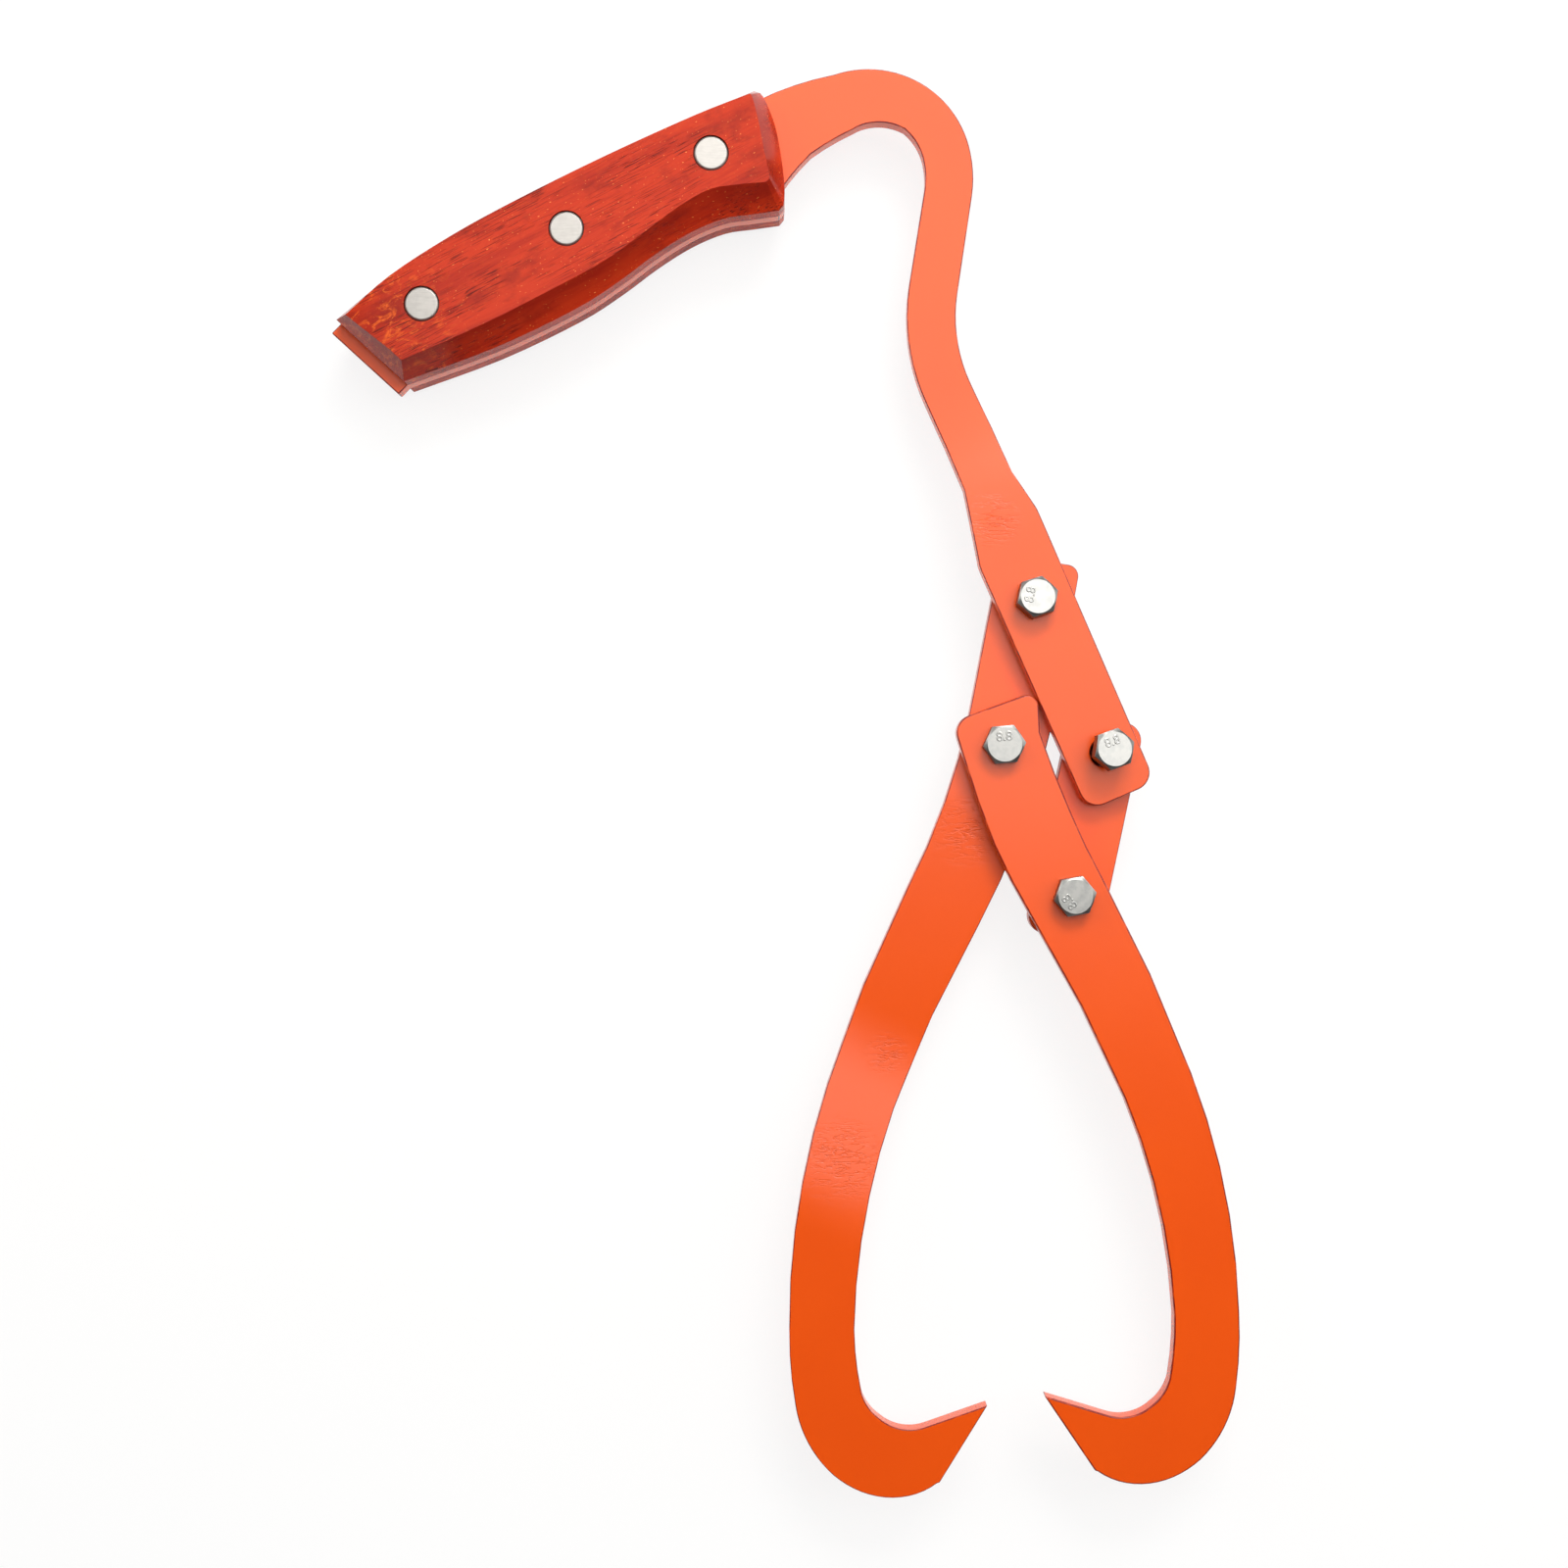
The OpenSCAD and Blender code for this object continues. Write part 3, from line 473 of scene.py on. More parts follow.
along = add_node(wood, "ShaderNodeSeparateXYZ")
join(wood, along.inputs[0], here)
near_butt = rise(wood, along.outputs["X"], FIGURE_START, FIGURE_FULL, *FIGURE_SHARES)
flame = stretched_cloud(wood, here, FLAME_SCALES, detail=4.0, rough=0.65, warp=1.2)
flame = calc(wood, "MULTIPLY", rise(wood, flame, *FLAME_LEVELS), near_butt)
colour = tint(wood, flame, colour, WOOD_FLAME)
fleck = stretched_cloud(wood, here, FLECK_SCALES, detail=2.0)
fleck = rise(wood, fleck, *FLECK_LEVELS, end=FLECK_SHARE)
colour = tint(wood, fleck, colour, WOOD_GOLD)
pore = stretched_cloud(wood, here, PORE_SCALES, detail=1.0, rough=0.4)
pore = rise(wood, pore, *PORE_LEVELS, end=PORE_SHARE)
rows = stretched_cloud(wood, here, ROW_SCALES, detail=2.0)
pore = calc(wood, "MULTIPLY", pore, rise(wood, rows, *ROW_LEVELS))
colour = tint(wood, calc(wood, "MULTIPLY", near_butt, BUTT_DARKER), colour, WOOD_DARK)
colour = tint(wood, pore, colour, PORE)
print("figured wood from", round(FIGURE_START / MM), "to", round(FIGURE_FULL / MM), "mm")

# %% [markdown]
# ### Bevels, edges and gloss
# The sloping bevels get painted shade, deepest toward the face; the edges are darker.
# The pores stay as dents in the lacquer, and its gloss changes with the mottle.

# %% Stained wood: bevels, edges and gloss
BEVEL_SHADE = 0.60
EDGE_DARKER = 0.10
WOOD_ROUGHNESS = (0.16, 0.26)
GRAIN_HEIGHT = 0.35
PORE_DEPTH = 0.8

# Painted shade on the sloping bevels.
bevel_shade = calc(wood, "MULTIPLY", wood_in["Slope"], BEVEL_SHADE)
colour = tint(wood, bevel_shade, colour, WOOD_DARK)
edge_darkening = calc(wood, "MULTIPLY", wood_in["Edge"], EDGE_DARKER)
join(wood, wood_out["Colour"], tint(wood, edge_darkening, colour, PORE))
join(wood, wood_out["Roughness"], rise(wood, mottle, *NOISE_SPAN, *WOOD_ROUGHNESS))
height = calc(
    wood, "SUBTRACT", calc(wood, "MULTIPLY", grain, GRAIN_HEIGHT),
    calc(wood, "MULTIPLY", pore, PORE_DEPTH),
)
join(wood, wood_out["Height"], height)
print("stained wood nodes:", len(wood.nodes))

# %% [markdown]
# ### Along the grip
# The grip does not lie along an axis of the scene, so the pattern is turned with it. Its
# direction is measured from two rivets, which is safer than writing the angle down. The
# second scale is sawn from another part of the plank, so its pattern is shifted far away.

# %% Direction and level of the grip
rivet_low, rivet_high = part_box("rivet_sleeve_middle")
butt_low, butt_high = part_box("rivet_sleeve_butt")
grip_middle = (rivet_low + rivet_high) / 2
butt_middle = (butt_low + butt_high) / 2
run = grip_middle - butt_middle
grip_turn = math.atan2(run.y, run.x)
tang_level = (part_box("front_scale")[0].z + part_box("rear_scale")[1].z) / 2
print("grip turned by", round(math.degrees(grip_turn), 2), "degrees")
print("tang level", round(tang_level / MM, 2), "mm")

# %% Wood material, turned with the grip
BEVEL_FOOT = 7.2 * MM
BEVEL_TOP = 12.0 * MM
LEAST_BEVEL_SHADE = 0.05
TILT_LEVELS = (0.80, 0.99)
GRAIN_BUMP = 0.15
FACE_LEVELS = (0.9, 0.99)
FACE_GLOSS = 0.15
BEVEL_LEVELS = ((0.25, 0.5), (0.98, 0.85))
BEVEL_GLOSS = 0.7
LACQUER_ROUGHNESS = 0.10
WOOD_SPECULAR = 0.07


def stained_wood(name, shift):
    """Wood material with its pattern shifted by so many millimetres."""
    material, tree, skin = new_material(name)
    turn = add_node(tree, "ShaderNodeMapping", vector_type="TEXTURE", inputs={
        "Vector": place_of(tree),
        "Location": (grip_middle.x + shift * MM, grip_middle.y, 0.0),
        "Rotation": (0.0, 0.0, grip_turn),
    })
    level = how_level(tree)
    recipe = add_node(tree, "ShaderNodeGroup", node_tree=wood)
    join(tree, recipe.inputs["Place"], turn.outputs[0])
    # The bevels' painted shade: on tilted faces only, faint at the walls, full toward the face.
    tilted = rise(tree, level, *TILT_LEVELS, start=1.0, end=0.0)
    spot = add_node(tree, "ShaderNodeSeparateXYZ")
    join(tree, spot.inputs[0], place_of(tree))
    from_tang = calc(tree, "ABSOLUTE", calc(tree, "SUBTRACT", spot.outputs["Z"], tang_level))
    bevel_shade_depth = rise(tree, from_tang, BEVEL_FOOT, BEVEL_TOP, start=LEAST_BEVEL_SHADE)
    join(tree, recipe.inputs["Slope"], calc(tree, "MULTIPLY", tilted, bevel_shade_depth))
    edge = add_node(tree, "ShaderNodeAttribute", attribute_name="edge").outputs["Fac"]
    join(tree, recipe.inputs["Edge"], edge)
    join(tree, skin.inputs["Base Color"], recipe.outputs["Colour"])
    join(tree, skin.inputs["Roughness"], recipe.outputs["Roughness"])
    bump = bump_from(tree, recipe.outputs["Height"], BUMP_STRENGTH, GRAIN_BUMP)
    join(tree, skin.inputs["Normal"], bump)
    sloping = calc(tree, "MULTIPLY", *(rise(tree, level, *levels) for levels in BEVEL_LEVELS))
    face_gloss = rise(tree, level, *FACE_LEVELS, end=FACE_GLOSS)
    bevel_gloss = calc(tree, "MULTIPLY", sloping, BEVEL_GLOSS)
    join(tree, skin.inputs["Coat Weight"], calc(tree, "ADD", face_gloss, bevel_gloss))
    skin.inputs["Specular IOR Level"].default_value = WOOD_SPECULAR
    skin.inputs["Coat Roughness"].default_value = LACQUER_ROUGHNESS
    return material


print("bevels lie", [round(level / MM, 1) for level in (BEVEL_FOOT, BEVEL_TOP)], "mm off the tang")

# %% The two scales
SCALE_RADIUS = 1.6 * MM
PLANK_SHIFT = 400.0


def wooden_scale(node, finish):
    scale = merged_copy("stained_" + node, node)
    scale = round_edges(scale, SCALE_RADIUS, steps=4, sharper_than=16.0)
    scale.data.materials.append(finish)
    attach(scale, "handle")
    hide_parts(node)
    print(scale.name, len(scale.data.polygons), "faces", corners(scale))


wooden_scale("front_scale", stained_wood("front scale wood", 0.0))
wooden_scale("rear_scale", stained_wood("rear scale wood", PLANK_SHIFT))

# %% [markdown]
# ## Rivets
# Each rivet is a headed sleeve pressed over a headed post, then sanded flush with the
# wood. Sanding leaves a satin face with fine straight scratches. They are a stretched
# noise in the bump, because a mesh that fine would be far too heavy.

# %% Satin metal
SATIN_DARK = (0.39, 0.375, 0.36, 1.0)
SATIN_LIGHT = (0.485, 0.468, 0.45, 1.0)
SCRATCH_SCALES = (300.0, 7000.0, 300.0)
SMUDGE_SCALE = 420.0
SCRATCH_SHARE = 0.4
SATIN_ROUGHNESS = (0.46, 0.58)

satin, satin_in, satin_out = new_finish(
    "satin metal",
    [("Place", "Vector")],
    [("Colour", "Color"), ("Roughness", "Float"), ("Height", "Float")],
)
scratches = stretched_cloud(satin, satin_in["Place"], SCRATCH_SCALES, detail=2.0)
smudge = cloud(satin, satin_in["Place"], SMUDGE_SCALE)
shade = calc(
    satin, "ADD", calc(satin, "MULTIPLY", scratches, SCRATCH_SHARE),
    calc(satin, "MULTIPLY", smudge, 1.0 - SCRATCH_SHARE),
)
shade = rise(satin, shade, *NOISE_CORE)
join(satin, satin_out["Colour"], tint(satin, shade, SATIN_DARK, SATIN_LIGHT))
join(satin, satin_out["Roughness"], rise(satin, smudge, *NOISE_SPAN, *SATIN_ROUGHNESS))
join(satin, satin_out["Height"], scratches)
print("satin metal nodes:", len(satin.nodes))


# %% A plain material from its recipe
def from_recipe(name, recipe_tree, strength, distance, metallic):
    material, tree, skin = new_material(name)
    recipe = add_node(tree, "ShaderNodeGroup", node_tree=recipe_tree)
    join(tree, recipe.inputs["Place"], place_of(tree))
    if "Facing" in recipe.inputs:
        join(tree, recipe.inputs["Facing"], add_node(tree, "ShaderNodeTexCoord").outputs["Normal"])
    join(tree, skin.inputs["Base Color"], recipe.outputs["Colour"])
    join(tree, skin.inputs["Roughness"], recipe.outputs["Roughness"])
    join(tree, skin.inputs["Normal"], bump_from(tree, recipe.outputs["Height"], strength, distance))
    skin.inputs["Metallic"].default_value = metallic
    return material


rivet_metal = from_recipe("satin rivet", satin, strength=0.15, distance=0.02, metallic=1.0)
print("made", rivet_metal.name)

# %% Rivets
RIVETS = ("butt", "middle", "front")
RIVET_RADIUS = 0.18 * MM

rivet_nodes = [kind + place for kind in ("rivet_sleeve_", "rivet_post_") for place in RIVETS]
rivets = round_edges(merged_copy("rivets", *rivet_nodes), RIVET_RADIUS, sharper_than=30.0)
rivets.data.materials.append(rivet_metal)
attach(rivets, "handle")
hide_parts(*rivet_nodes)
print("rivets", len(rivets.data.polygons), "faces", corners(rivets))

# %% [markdown]
# ## Hexagon bolts
# A bolt head is forged in a die that leaves its strength class, the plain number 8.8,
# raised on top, and a chamfer round the corners. The thread is rolled. Both repeat on
# four bolts, so a network of geometry nodes makes one bolt from its sizes.

# %% Sizes of the bolt
THREAD_D = 5.9 * MM
THREAD_PITCH = 1.0 * MM
THREAD_DEPTH = 0.5 * MM
BOLT_LEN = 20.0 * MM
HEAD_AF = 10.0 * MM
HEAD_H = 3.82 * MM
HEAD_FLAT_D = 9.2 * MM

bolt_tree = bpy.data.node_groups.new("hexagon bolt", "GeometryNodeTree")
bolt_tree.interface.new_socket("Geometry", in_out="INPUT", socket_type="NodeSocketGeometry")
bolt_sizes = {
    "Thread diameter": THREAD_D,
    "Pitch": THREAD_PITCH,
    "Thread depth": THREAD_DEPTH,
    "Length": BOLT_LEN,
    "Head width": HEAD_AF,
    "Head height": HEAD_H,
    "Flat diameter": HEAD_FLAT_D,
}
for label in bolt_sizes:
    bolt_tree.interface.new_socket(label, in_out="INPUT", socket_type="NodeSocketFloat")
bolt_tree.interface.new_socket("Metal", in_out="INPUT", socket_type="NodeSocketMaterial")
bolt_tree.interface.new_socket("Geometry", in_out="OUTPUT", socket_type="NodeSocketGeometry")
given = bolt_tree.nodes.new("NodeGroupInput").outputs
result = bolt_tree.nodes.new("NodeGroupOutput").inputs
print("bolt sizes:", {label: round(size / MM, 2) for label, size in bolt_sizes.items()})


# %% Helpers for the bolt's network
def work(operation, *values):
    return calc(bolt_tree, operation, *values)


def shape_node(kind, inputs, **settings):
    return add_node(bolt_tree, kind, inputs, **settings)


def at_height(height):
    """A vector that points straight up by a worked-out height."""
    made = add_node(bolt_tree, "ShaderNodeCombineXYZ")
    join(bolt_tree, made.inputs["Z"], height)
    return made.outputs[0]


print("bolt helpers ready")

# %% [markdown]
# ### The rolled thread
# A thread is one groove that climbs by its pitch at each turn. A true helix needs a lot
# of care where it ends. Here a plain rod with many rings is pushed in instead, by how far
# each point is from the crest of the thread.

# %% The rolled thread
RINGS_PER_TURN = 8
THREAD_SIDES = 28
END_CHAMFER = 0.7 * MM
CREST_FLAT = 0.08
WHOLE_TURNS = 64.0  # added so that the phase starts above zero

half_length = work("DIVIDE", given["Length"], 2.0)
rings = work("MULTIPLY", work("DIVIDE", given["Length"], given["Pitch"]), RINGS_PER_TURN)
radius = work("DIVIDE", given["Thread diameter"], 2.0)
rod = shape_node("GeometryNodeMeshCylinder", {
    "Vertices": THREAD_SIDES, "Side Segments": rings, "Radius": radius, "Depth": given["Length"],
}, fill_type="NGON")
spot = shape_node("ShaderNodeSeparateXYZ", {
    0: add_node(bolt_tree, "GeometryNodeInputPosition").outputs[0],
}).outputs
turns = work("DIVIDE", work("ARCTAN2", spot["Y"], spot["X"]), math.tau)
climb = work("DIVIDE", spot["Z"], given["Pitch"])
phase = work("FRACT", work("ADD", work("SUBTRACT", climb, turns), WHOLE_TURNS))
ridge = work("ABSOLUTE", work("SUBTRACT", work("MULTIPLY", phase, 2.0), 1.0))
groove = rise(bolt_tree, ridge, CREST_FLAT, 1.0 - CREST_FLAT)
cut = work("MULTIPLY", groove, given["Thread depth"])
from_end = work("ADD", spot["Z"], half_length)
taper = work("MAXIMUM", work("SUBTRACT", END_CHAMFER, from_end), 0.0)
share = work("SUBTRACT", 1.0, work("DIVIDE", work("MAXIMUM", cut, taper), radius))
thinner = shape_node("ShaderNodeCombineXYZ", {
    "X": work("MULTIPLY", spot["X"], share),
    "Y": work("MULTIPLY", spot["Y"], share),
    "Z": work("SUBTRACT", spot["Z"], half_length),
})
thread = shape_node("GeometryNodeSetPosition", {
    "Geometry": rod.outputs["Mesh"], "Position": thinner.outputs[0],
})
print("thread with", THREAD_SIDES, "sides and", RINGS_PER_TURN, "rings a turn")

# %% [markdown]
# ### The forged head
# The head is a hexagon whose corners are cut by a wide cone. Cutting a hexagon with a
# cone is just what the real chamfer is, so the two curved lines on each side come out
# right by themselves.

# %% The forged head
CHAMFER = math.radians(30)
HALF_SIDE_ANGLE = math.radians(30)
BLANK_EXTRA = 1.0 * MM
CONE_HEIGHTS = 4.0
CONE_SIDES = 72

corner_radius = work("DIVIDE", given["Head width"], 2.0 * math.cos(HALF_SIDE_ANGLE))
blank_height = work("ADD", given["Head height"], BLANK_EXTRA)
hexagon = shape_node("GeometryNodeMeshCylinder", {
    "Vertices": 6, "Radius": corner_radius, "Depth": blank_height,
}, fill_type="NGON")
flat_radius = work("DIVIDE", given["Flat diameter"], 2.0)
cone_height = work("MULTIPLY", given["Head height"], CONE_HEIGHTS)
spread = work("DIVIDE", cone_height, math.tan(CHAMFER))
cone = shape_node("GeometryNodeMeshCone", {
    "Vertices": CONE_SIDES, "Radius Top": flat_radius,
    "Radius Bottom": work("ADD", flat_radius, spread), "Depth": cone_height,
}, fill_type="NGON")
hexagon_up = shape_node("GeometryNodeTransform", {
    "Geometry": hexagon.outputs["Mesh"],
    "Translation": at_height(work("DIVIDE", blank_height, 2.0)),
})
cone_down = shape_node("GeometryNodeTransform", {
    "Geometry": cone.outputs["Mesh"],
    "Translation": at_height(work("SUBTRACT", given["Head height"], cone_height)),
})
head = add_node(bolt_tree, "GeometryNodeMeshBoolean", operation="INTERSECT", solver="EXACT")
for part in (hexagon_up, cone_down):
    bolt_tree.links.new(part.outputs[0], head.inputs["Mesh 2"])
whole = add_node(bolt_tree, "GeometryNodeJoinGeometry")
for part in (head, thread):
    bolt_tree.links.new(part.outputs[0], whole.inputs[0])
real = shape_node("GeometryNodeRealizeInstances", {0: whole.outputs[0]})
plated = shape_node("GeometryNodeSetMaterial", {
    "Geometry": real.outputs[0], "Material": given["Metal"],
})
join(bolt_tree, result["Geometry"], plated.outputs[0])
print("bolt network nodes:", len(bolt_tree.nodes))

# %% [markdown]
# ## Zinc plating
# Bright zinc is a thin electroplated skin over the forged steel. It is nearly silver,
# with small cloudy patches and a slightly uneven, dimpled surface from the forging. The
# steep sides of the head and the thread get painted shade, so the colour follows how
# level a face is.

# %% Zinc recipe
ZINC_DULL = (0.35, 0.355, 0.35, 1.0)
ZINC_BRIGHT = (0.43, 0.43, 0.42, 1.0)
ZINC_SIDE_SHADE = (0.12, 0.12, 0.13, 1.0)
SIDE_SHADE_LEVELS = (0.84, 0.60)
SIDE_SHADE_SHARE = 0.75
DULL_PATCH_SCALE = 500.0
GRIT_SCALE = 3200.0
GRIT_SHARE = 0.3
ZINC_ROUGHNESS = (0.30, 0.40)

zinc, zinc_in, zinc_out = new_finish(
    "zinc plating",
    [("Place", "Vector"), ("Facing", "Vector")],
    [("Colour", "Color"), ("Roughness", "Float"), ("Height", "Float")],
)
up_down = add_node(zinc, "ShaderNodeSeparateXYZ")
join(zinc, up_down.inputs[0], zinc_in["Facing"])
# Painted shade on the steep sides of the head and the thread.
side_shade = calc(zinc, "ABSOLUTE", up_down.outputs["Z"])
side_shade = rise(zinc, side_shade, *SIDE_SHADE_LEVELS, end=SIDE_SHADE_SHARE)
patches = cloud(zinc, zinc_in["Place"], DULL_PATCH_SCALE, detail=4.0, rough=0.6)
grit = cloud(zinc, zinc_in["Place"], GRIT_SCALE, detail=2.0)
grit = calc(zinc, "MULTIPLY", grit, GRIT_SHARE)
bright = tint(zinc, rise(zinc, patches, *NOISE_CORE), ZINC_DULL, ZINC_BRIGHT)
join(zinc, zinc_out["Colour"], tint(zinc, side_shade, bright, ZINC_SIDE_SHADE))
join(zinc, zinc_out["Roughness"], rise(zinc, patches, *NOISE_SPAN, *ZINC_ROUGHNESS))
join(zinc, zinc_out["Height"], calc(zinc, "ADD", patches, grit))
zinc_metal = from_recipe("zinc plate", zinc, strength=0.35, distance=0.05, metallic=1.0)
print("made", zinc_metal.name)

# %% [markdown]
# ## One bolt from the network
# A network makes its shape on an object that carries it. One empty helper object carries
# it here, the finished mesh is taken off it, and the helper goes again, so the four bolts
# are plain meshes that can be placed one by one.

# %% Make one bolt
bolt_maker = keep_object("bolt_maker", bpy.data.meshes.new("bolt seed"))
nodes_on = bolt_maker.modifiers.new("bolt", "NODES")
nodes_on.node_group = bolt_tree
sockets = {s.name: s.identifier for s in bolt_tree.interface.items_tree if s.in_out == "INPUT"}
for label, size in bolt_sizes.items():
    nodes_on[sockets[label]] = size
nodes_on[sockets["Metal"]] = zinc_metal
bolt_mesh = finished_mesh(bolt_maker)
bpy.data.objects.remove(bolt_maker)
heights = [round(v.co.z / MM, 2) for v in bolt_mesh.vertices]
print("bolt:", len(bolt_mesh.polygons), "faces, from", min(heights), "to", max(heights), "mm")

# %% [markdown]
# ## The raised number
# The die leaves the strength class raised on the head. It is a plain standard number, so
# it is kept, and the other half of each head stays bare. It could be bump only, but real
# letters with sloping sides catch the light as the forged ones do.

# %% Raised number
MARK_SIZE = 3.6 * MM
MARK_OUT = 2.1 * MM
MARK_RISE = 0.17 * MM
MARK_SINK = 0.1 * MM
MARK_SLOPE = 0.13 * MM
MARK_THINNER = 0.06 * MM

lettering = bpy.data.curves.new("class number", "FONT")
lettering.body = "8.8"
lettering.size = MARK_SIZE
lettering.align_x = "CENTER"
lettering.align_y = "CENTER"
lettering.extrude = (MARK_RISE + MARK_SINK) / 2 - MARK_SLOPE
lettering.bevel_depth = MARK_SLOPE
lettering.bevel_resolution = 1
lettering.offset = -MARK_THINNER
lettering.resolution_u = 3
mark_maker = keep_object("mark_maker", lettering)
mark_mesh = finished_mesh(mark_maker)
bpy.data.objects.remove(mark_maker)
mark_mesh.transform(Matrix.Translation((0, MARK_OUT, HEAD_H + (MARK_RISE - MARK_SINK) / 2)))
print("number", lettering.body, "with", len(mark_mesh.polygons), "faces")

# %% [markdown]
# ## Bolts in their places
# Every bolt stands on its pivot. The top and side ones are loose: they stand off their
# plate and lean in their holes. Each head is turned the way its number points. A bolt
# rides on the plate that its head rests on, so two bolts share a body and make one piece.

# %% Pivots and leans
FRONT_HIGH = 5.15 * MM  # top of the front plates, above the pivots

pivots = {joint["name"]: Vector(joint["pos_m"]) for joint in frame["joints"]}
lower_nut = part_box("nut_lower")
lower_middle = (lower_nut[0] + lower_nut[1]) / 2
level = pivots["centre_pivot"].z
pivots["lower_pivot"] = Vector((lower_middle.x, lower_middle.y, level))
for pivot, spot in pivots.items():
    print(pivot, [round(v / MM, 1) for v in spot])


def leaning(degrees, toward):
    """A lean by so many degrees toward a direction, also in degrees."""
    swing = Matrix.Rotation(math.radians(toward), 4, "Z")
    lean = Matrix.Rotation(math.radians(degrees), 4, "Y")
    return swing @ lean @ swing.inverted()


# %% Place of each bolt
def bolt_place(pivot, stand_off, turn, degrees=0.0, toward=0.0):
    """Where a bolt goes: millimetres off its plate, turn of the head, and lean."""
    seat = Matrix.Translation((0, 0, FRONT_HIGH + stand_off * MM))
    spin = Matrix.Rotation(math.radians(turn), 4, "Z")
    return Matrix.Translation(pivots[pivot]) @ leaning(degrees, toward) @ seat @ spin


bolt_places = {
    "bolt_top": bolt_place("top_pivot", stand_off=1.5, turn=78, degrees=6, toward=62),
    "bolt_side": bolt_place("side_pivot", stand_off=4.5, turn=20, degrees=8, toward=28),
    "bolt_centre": bolt_place("centre_pivot", stand_off=0.1, turn=5),
    "bolt_lower": bolt_place("lower_pivot", stand_off=0.3, turn=130),
}
print("bolts to place:", ", ".join(bolt_places))

# %% Bolts, one piece for each body
BOLT_SHARP = math.radians(20)


def placed_copies(name, jobs):
    """One mesh from several meshes, each moved to its place."""
    shape = bmesh.new()
    for mesh, place in jobs:
        copy = mesh.copy()
        copy.transform(place)
        shape.from_mesh(copy)
        bpy.data.meshes.remove(copy)
    joined = bpy.data.meshes.new(name)
    shape.to_mesh(joined)
    shape.free()
    return keep_object(name, joined)


def bolts_on(body, *names):
    jobs = [(mesh, bolt_places[n]) for n in names for mesh in (bolt_mesh, mark_mesh)]
    bolts = placed_copies("bolts_" + body, jobs)
    bolts.data.materials.clear()
    bolts.data.materials.append(zinc_metal)
    bolts.data.set_sharp_from_angle(angle=BOLT_SHARP)
    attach(bolts, body)
    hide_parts(*names)
    for name in names:
        low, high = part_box(name)
        print(name, "measured", [round(v / MM, 1) for v in low], [round(v / MM, 1) for v in high])
    print(bolts.name, len(bolts.data.polygons), "faces", corners(bolts))


bolts_on("handle", "bolt_top", "bolt_side")
bolts_on("right_jaw", "bolt_centre", "bolt_lower")

# %% [markdown]
# ## Lock nuts
# Each bolt ends in a lock nut: a hexagon with a round collar that holds a nylon ring.
# The ring grips the thread, so a pivot may be left loose and still not undo itself. The
# measured nuts are near enough, so they only get rounded edges and their materials.

# %% Nylon
NYLON_DARK = (0.03, 0.09, 0.34, 1.0)
NYLON_LIGHT = (0.06, 0.15, 0.46, 1.0)
HAZE_SCALE = 900.0
NYLON_ROUGHNESS = (0.38, 0.50)

nylon, nylon_in, nylon_out = new_finish(
    "nylon",
    [("Place", "Vector")],
    [("Colour", "Color"), ("Roughness", "Float"), ("Height", "Float")],
)
haze = cloud(nylon, nylon_in["Place"], HAZE_SCALE)
join(nylon, nylon_out["Colour"], tint(nylon, haze, NYLON_DARK, NYLON_LIGHT))
join(nylon, nylon_out["Roughness"], rise(nylon, haze, *NOISE_SPAN, *NYLON_ROUGHNESS))
join(nylon, nylon_out["Height"], haze)
ring_nylon = from_recipe("ring nylon", nylon, strength=0.2, distance=0.03, metallic=0.0)
print("made", ring_nylon.name)

# %% Lock nuts and their rings
NUT_RADIUS = 0.25 * MM
RING_RADIUS = 0.12 * MM
NUT_KINDS = (
    ("nut", "fasteners", zinc_metal, NUT_RADIUS),
    ("lock_ring", "lock_rings", ring_nylon, RING_RADIUS),
)


def nuts_on(body, *places):
    for kind, slot, material, radius in NUT_KINDS:
        nodes = [kind + "_" + place for place in places]
        nuts = round_edges(merged_copy(kind + "s_" + body, *nodes), radius, sharper_than=25.0)
        nuts.data.materials.append(material)
        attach(nuts, body)
        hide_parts(*nodes)
        print(nuts.name, len(nuts.data.polygons), "faces", corners(nuts))


nuts_on("handle", "top", "side")
nuts_on("right_jaw", "centre", "lower")

# %% [markdown]
# ## Paper
# The tongs lie on white paper that a photographer lights until it is pure white. Enough
# lamp light for that would burn out the orange. So the paper glows by itself, mostly for
# the camera and less where it is mirrored, and still takes the soft shadows.

# %% Paper
PAPER_SPAN = 24.0
PAPER_DROP = 0.1 * MM
PAPER_WHITE = (0.97, 0.97, 0.97, 1.0)
PAPER_ROUGHNESS = 0.9
PAPER_SPECULAR = 0.1
PAPER_GLOW = 0.85
PAPER_GLOW_MIRRORED = 0.55

half = PAPER_SPAN / 2
sheet_mesh = bpy.data.meshes.new("paper")
sheet_mesh.from_pydata(
    [(x, y, -PAPER_DROP) for x, y in ((-half, -half), (half, -half), (half, half), (-half, half))],
    [], [(0, 1, 2, 3)],
)
paper = keep_object("paper", sheet_mesh)
paper_look, paper_nodes, paper_skin = new_material("white paper")
paper_skin.inputs["Base Color"].default_value = PAPER_WHITE
paper_skin.inputs["Roughness"].default_value = PAPER_ROUGHNESS
paper_skin.inputs["Specular IOR Level"].default_value = PAPER_SPECULAR
glow = add_node(paper_nodes, "ShaderNodeEmission", inputs={"Strength": 1.0})
seen = add_node(paper_nodes, "ShaderNodeLightPath").outputs
mirrored = calc(paper_nodes, "MAXIMUM", seen["Is Glossy Ray"], seen["Is Transmission Ray"])
mirrored = calc(paper_nodes, "MULTIPLY", mirrored, PAPER_GLOW_MIRRORED)
share = calc(paper_nodes, "MULTIPLY", seen["Is Camera Ray"], PAPER_GLOW)
share = calc(paper_nodes, "MAXIMUM", share, mirrored)
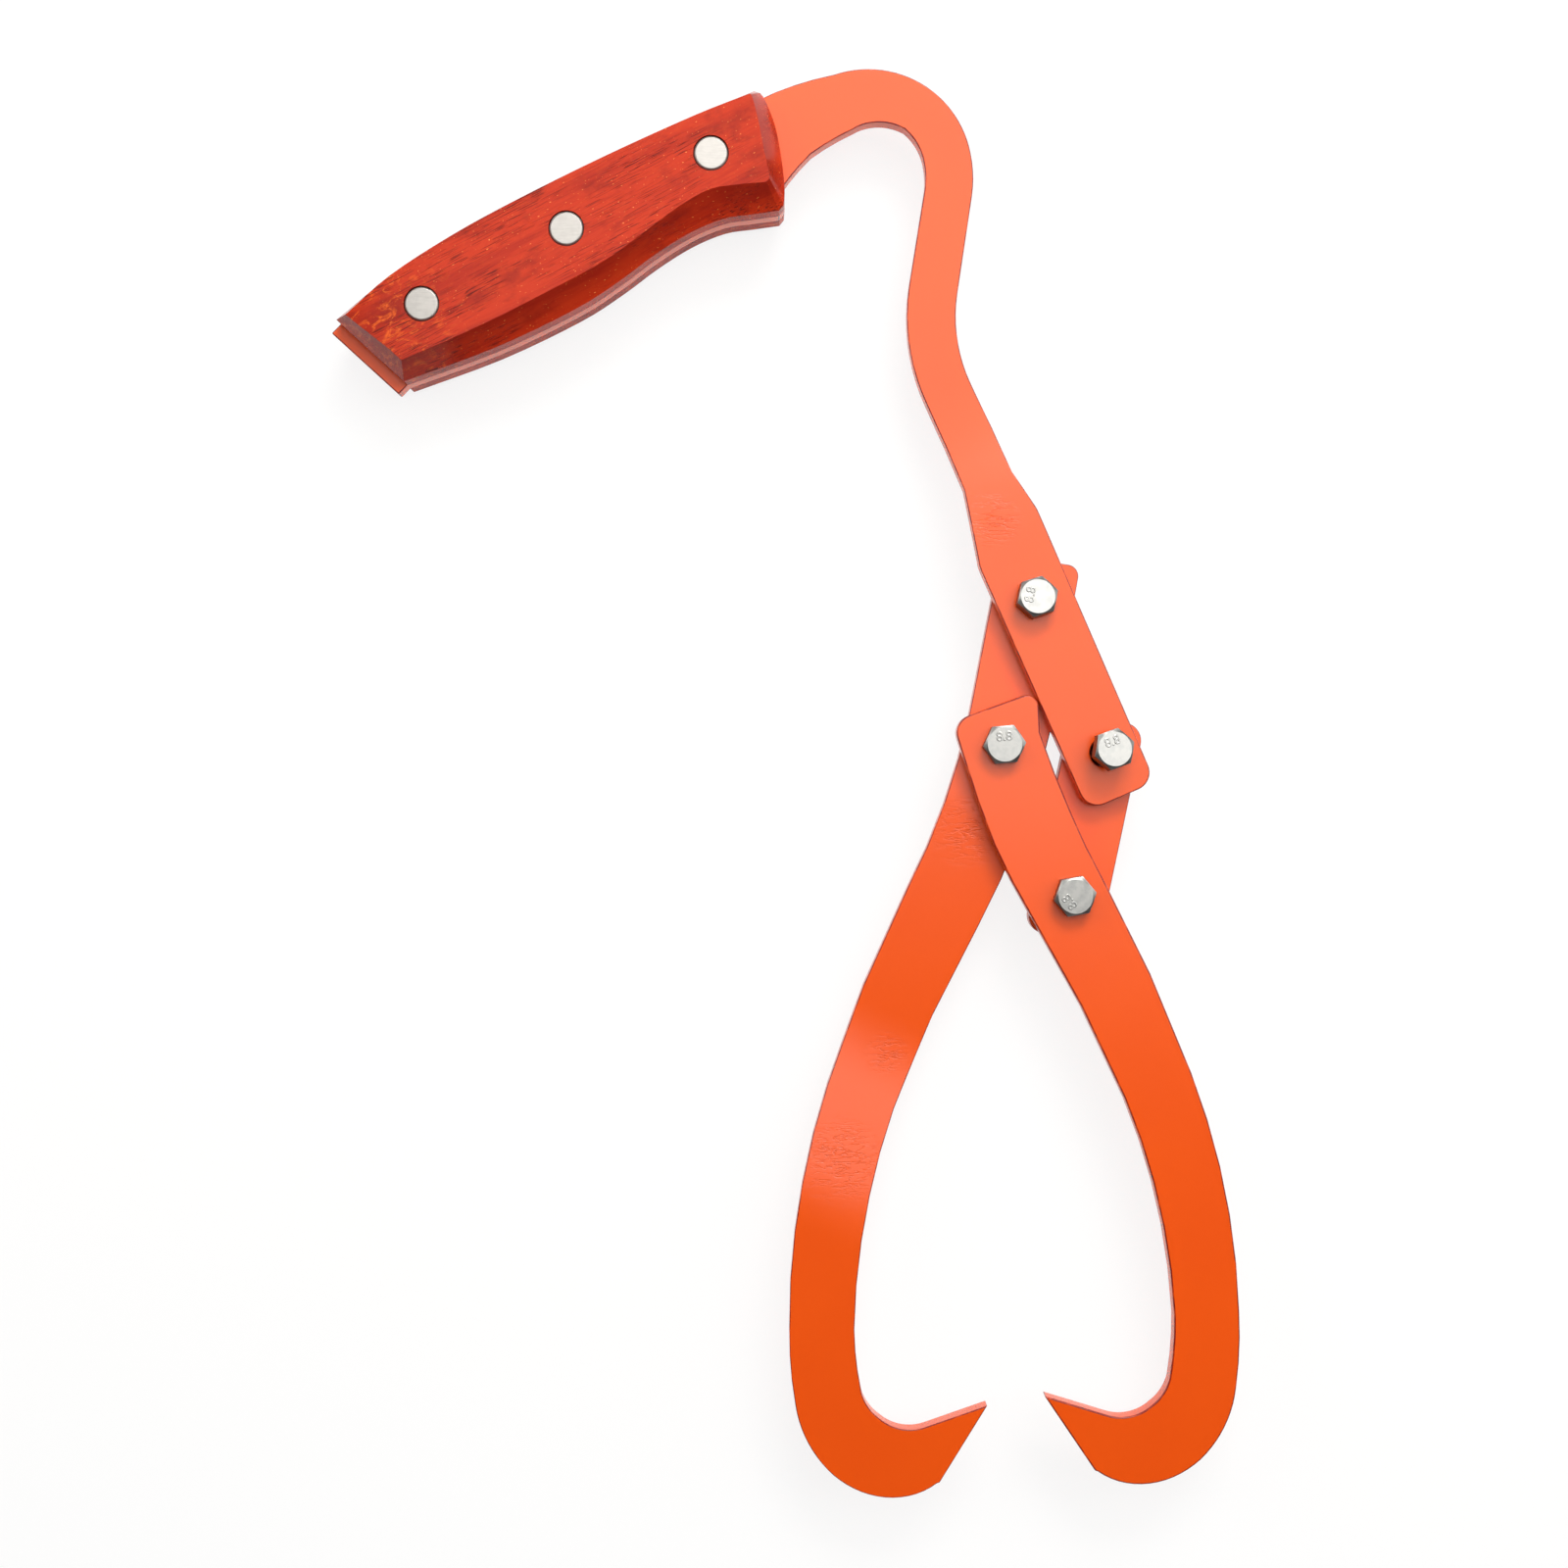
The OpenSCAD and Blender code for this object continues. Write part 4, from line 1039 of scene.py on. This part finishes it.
lit_paper = add_node(paper_nodes, "ShaderNodeMixShader")
for socket, source in zip(lit_paper.inputs, (share, paper_skin.outputs[0], glow.outputs[0])):
    join(paper_nodes, socket, source)
join(paper_nodes, paper_nodes.nodes["Material Output"].inputs["Surface"], lit_paper.outputs[0])
sheet_mesh.materials.append(paper_look)
print("paper", PAPER_SPAN, "m wide")

# %% [markdown]
# ## Soft light
# A large softbox hangs over the tongs. A stronger one stands beyond the grip and mirrors
# in the glossy paint, which makes the bar and the gooseneck paler than the hooks. Weak
# lamps at the left, the right and the front, and a dim white world, lighten the walls.

# %% Soft light
WARM_WHITE = (1.0, 0.98, 0.94)
FILL = 0.08


def soft_light(name, place, size, watts, aim=None):
    lamp = bpy.data.lights.new(name, "AREA")
    lamp.shape = "RECTANGLE"
    lamp.size, lamp.size_y = size
    lamp.energy = watts
    lamp.color = WARM_WHITE
    light = keep_object(name, lamp)
    light.location = place
    if aim is not None:
        light.rotation_euler = (Vector(aim) - Vector(place)).to_track_quat("-Z", "Y").to_euler()
    print(name, watts, "W")


soft_light("softbox", (0.32, 0.48, 0.95), (1.25, 1.1), 11.4)
soft_light("back light", (0.30, 1.20, 1.05), (0.8, 0.5), 16.0, aim=(0.0, 0.12, 0.0))
soft_light("right light", (1.3, 0.4, 0.8), (0.8, 0.8), 4.0, aim=(0.0, 0.05, 0.0))
soft_light("left light", (-1.1, 0.6, 0.8), (0.8, 0.8), 5.0, aim=(0.0, 0.05, 0.0))
soft_light("front fill", (0.0, -1.3, 0.25), (1.6, 0.4), 1.0, aim=(0.0, 0.08, 0.0))

world = bpy.data.worlds.new("studio")
bpy.context.scene.world = world
world.use_nodes = True
background = world.node_tree.nodes["Background"]
background.inputs["Color"].default_value = (1.0, 1.0, 1.0, 1.0)
background.inputs["Strength"].default_value = FILL
bpy.context.scene.view_settings.view_transform = "Standard"

# %% [markdown]
# ## Camera
# The camera looks straight down from a little over half a metre, near enough to show the
# inner walls of the hooks. A longer lens from farther off would hide them.

# %% Camera
SENSOR = 36.0
LENS = 46.17
SEES_FROM, SEES_TO = 0.01, 60.0
CAMERA_PLACE = (0.1 * MM, -1.1 * MM, 563.2 * MM)

camera_data = bpy.data.cameras.new("camera")
camera_data.sensor_width = SENSOR
camera_data.lens = LENS
camera_data.clip_start = SEES_FROM
camera_data.clip_end = SEES_TO
camera = keep_object("camera", camera_data)
camera.location = CAMERA_PLACE
bpy.context.scene.camera = camera
print("camera", [round(v / MM, 1) for v in camera.location], "mm")
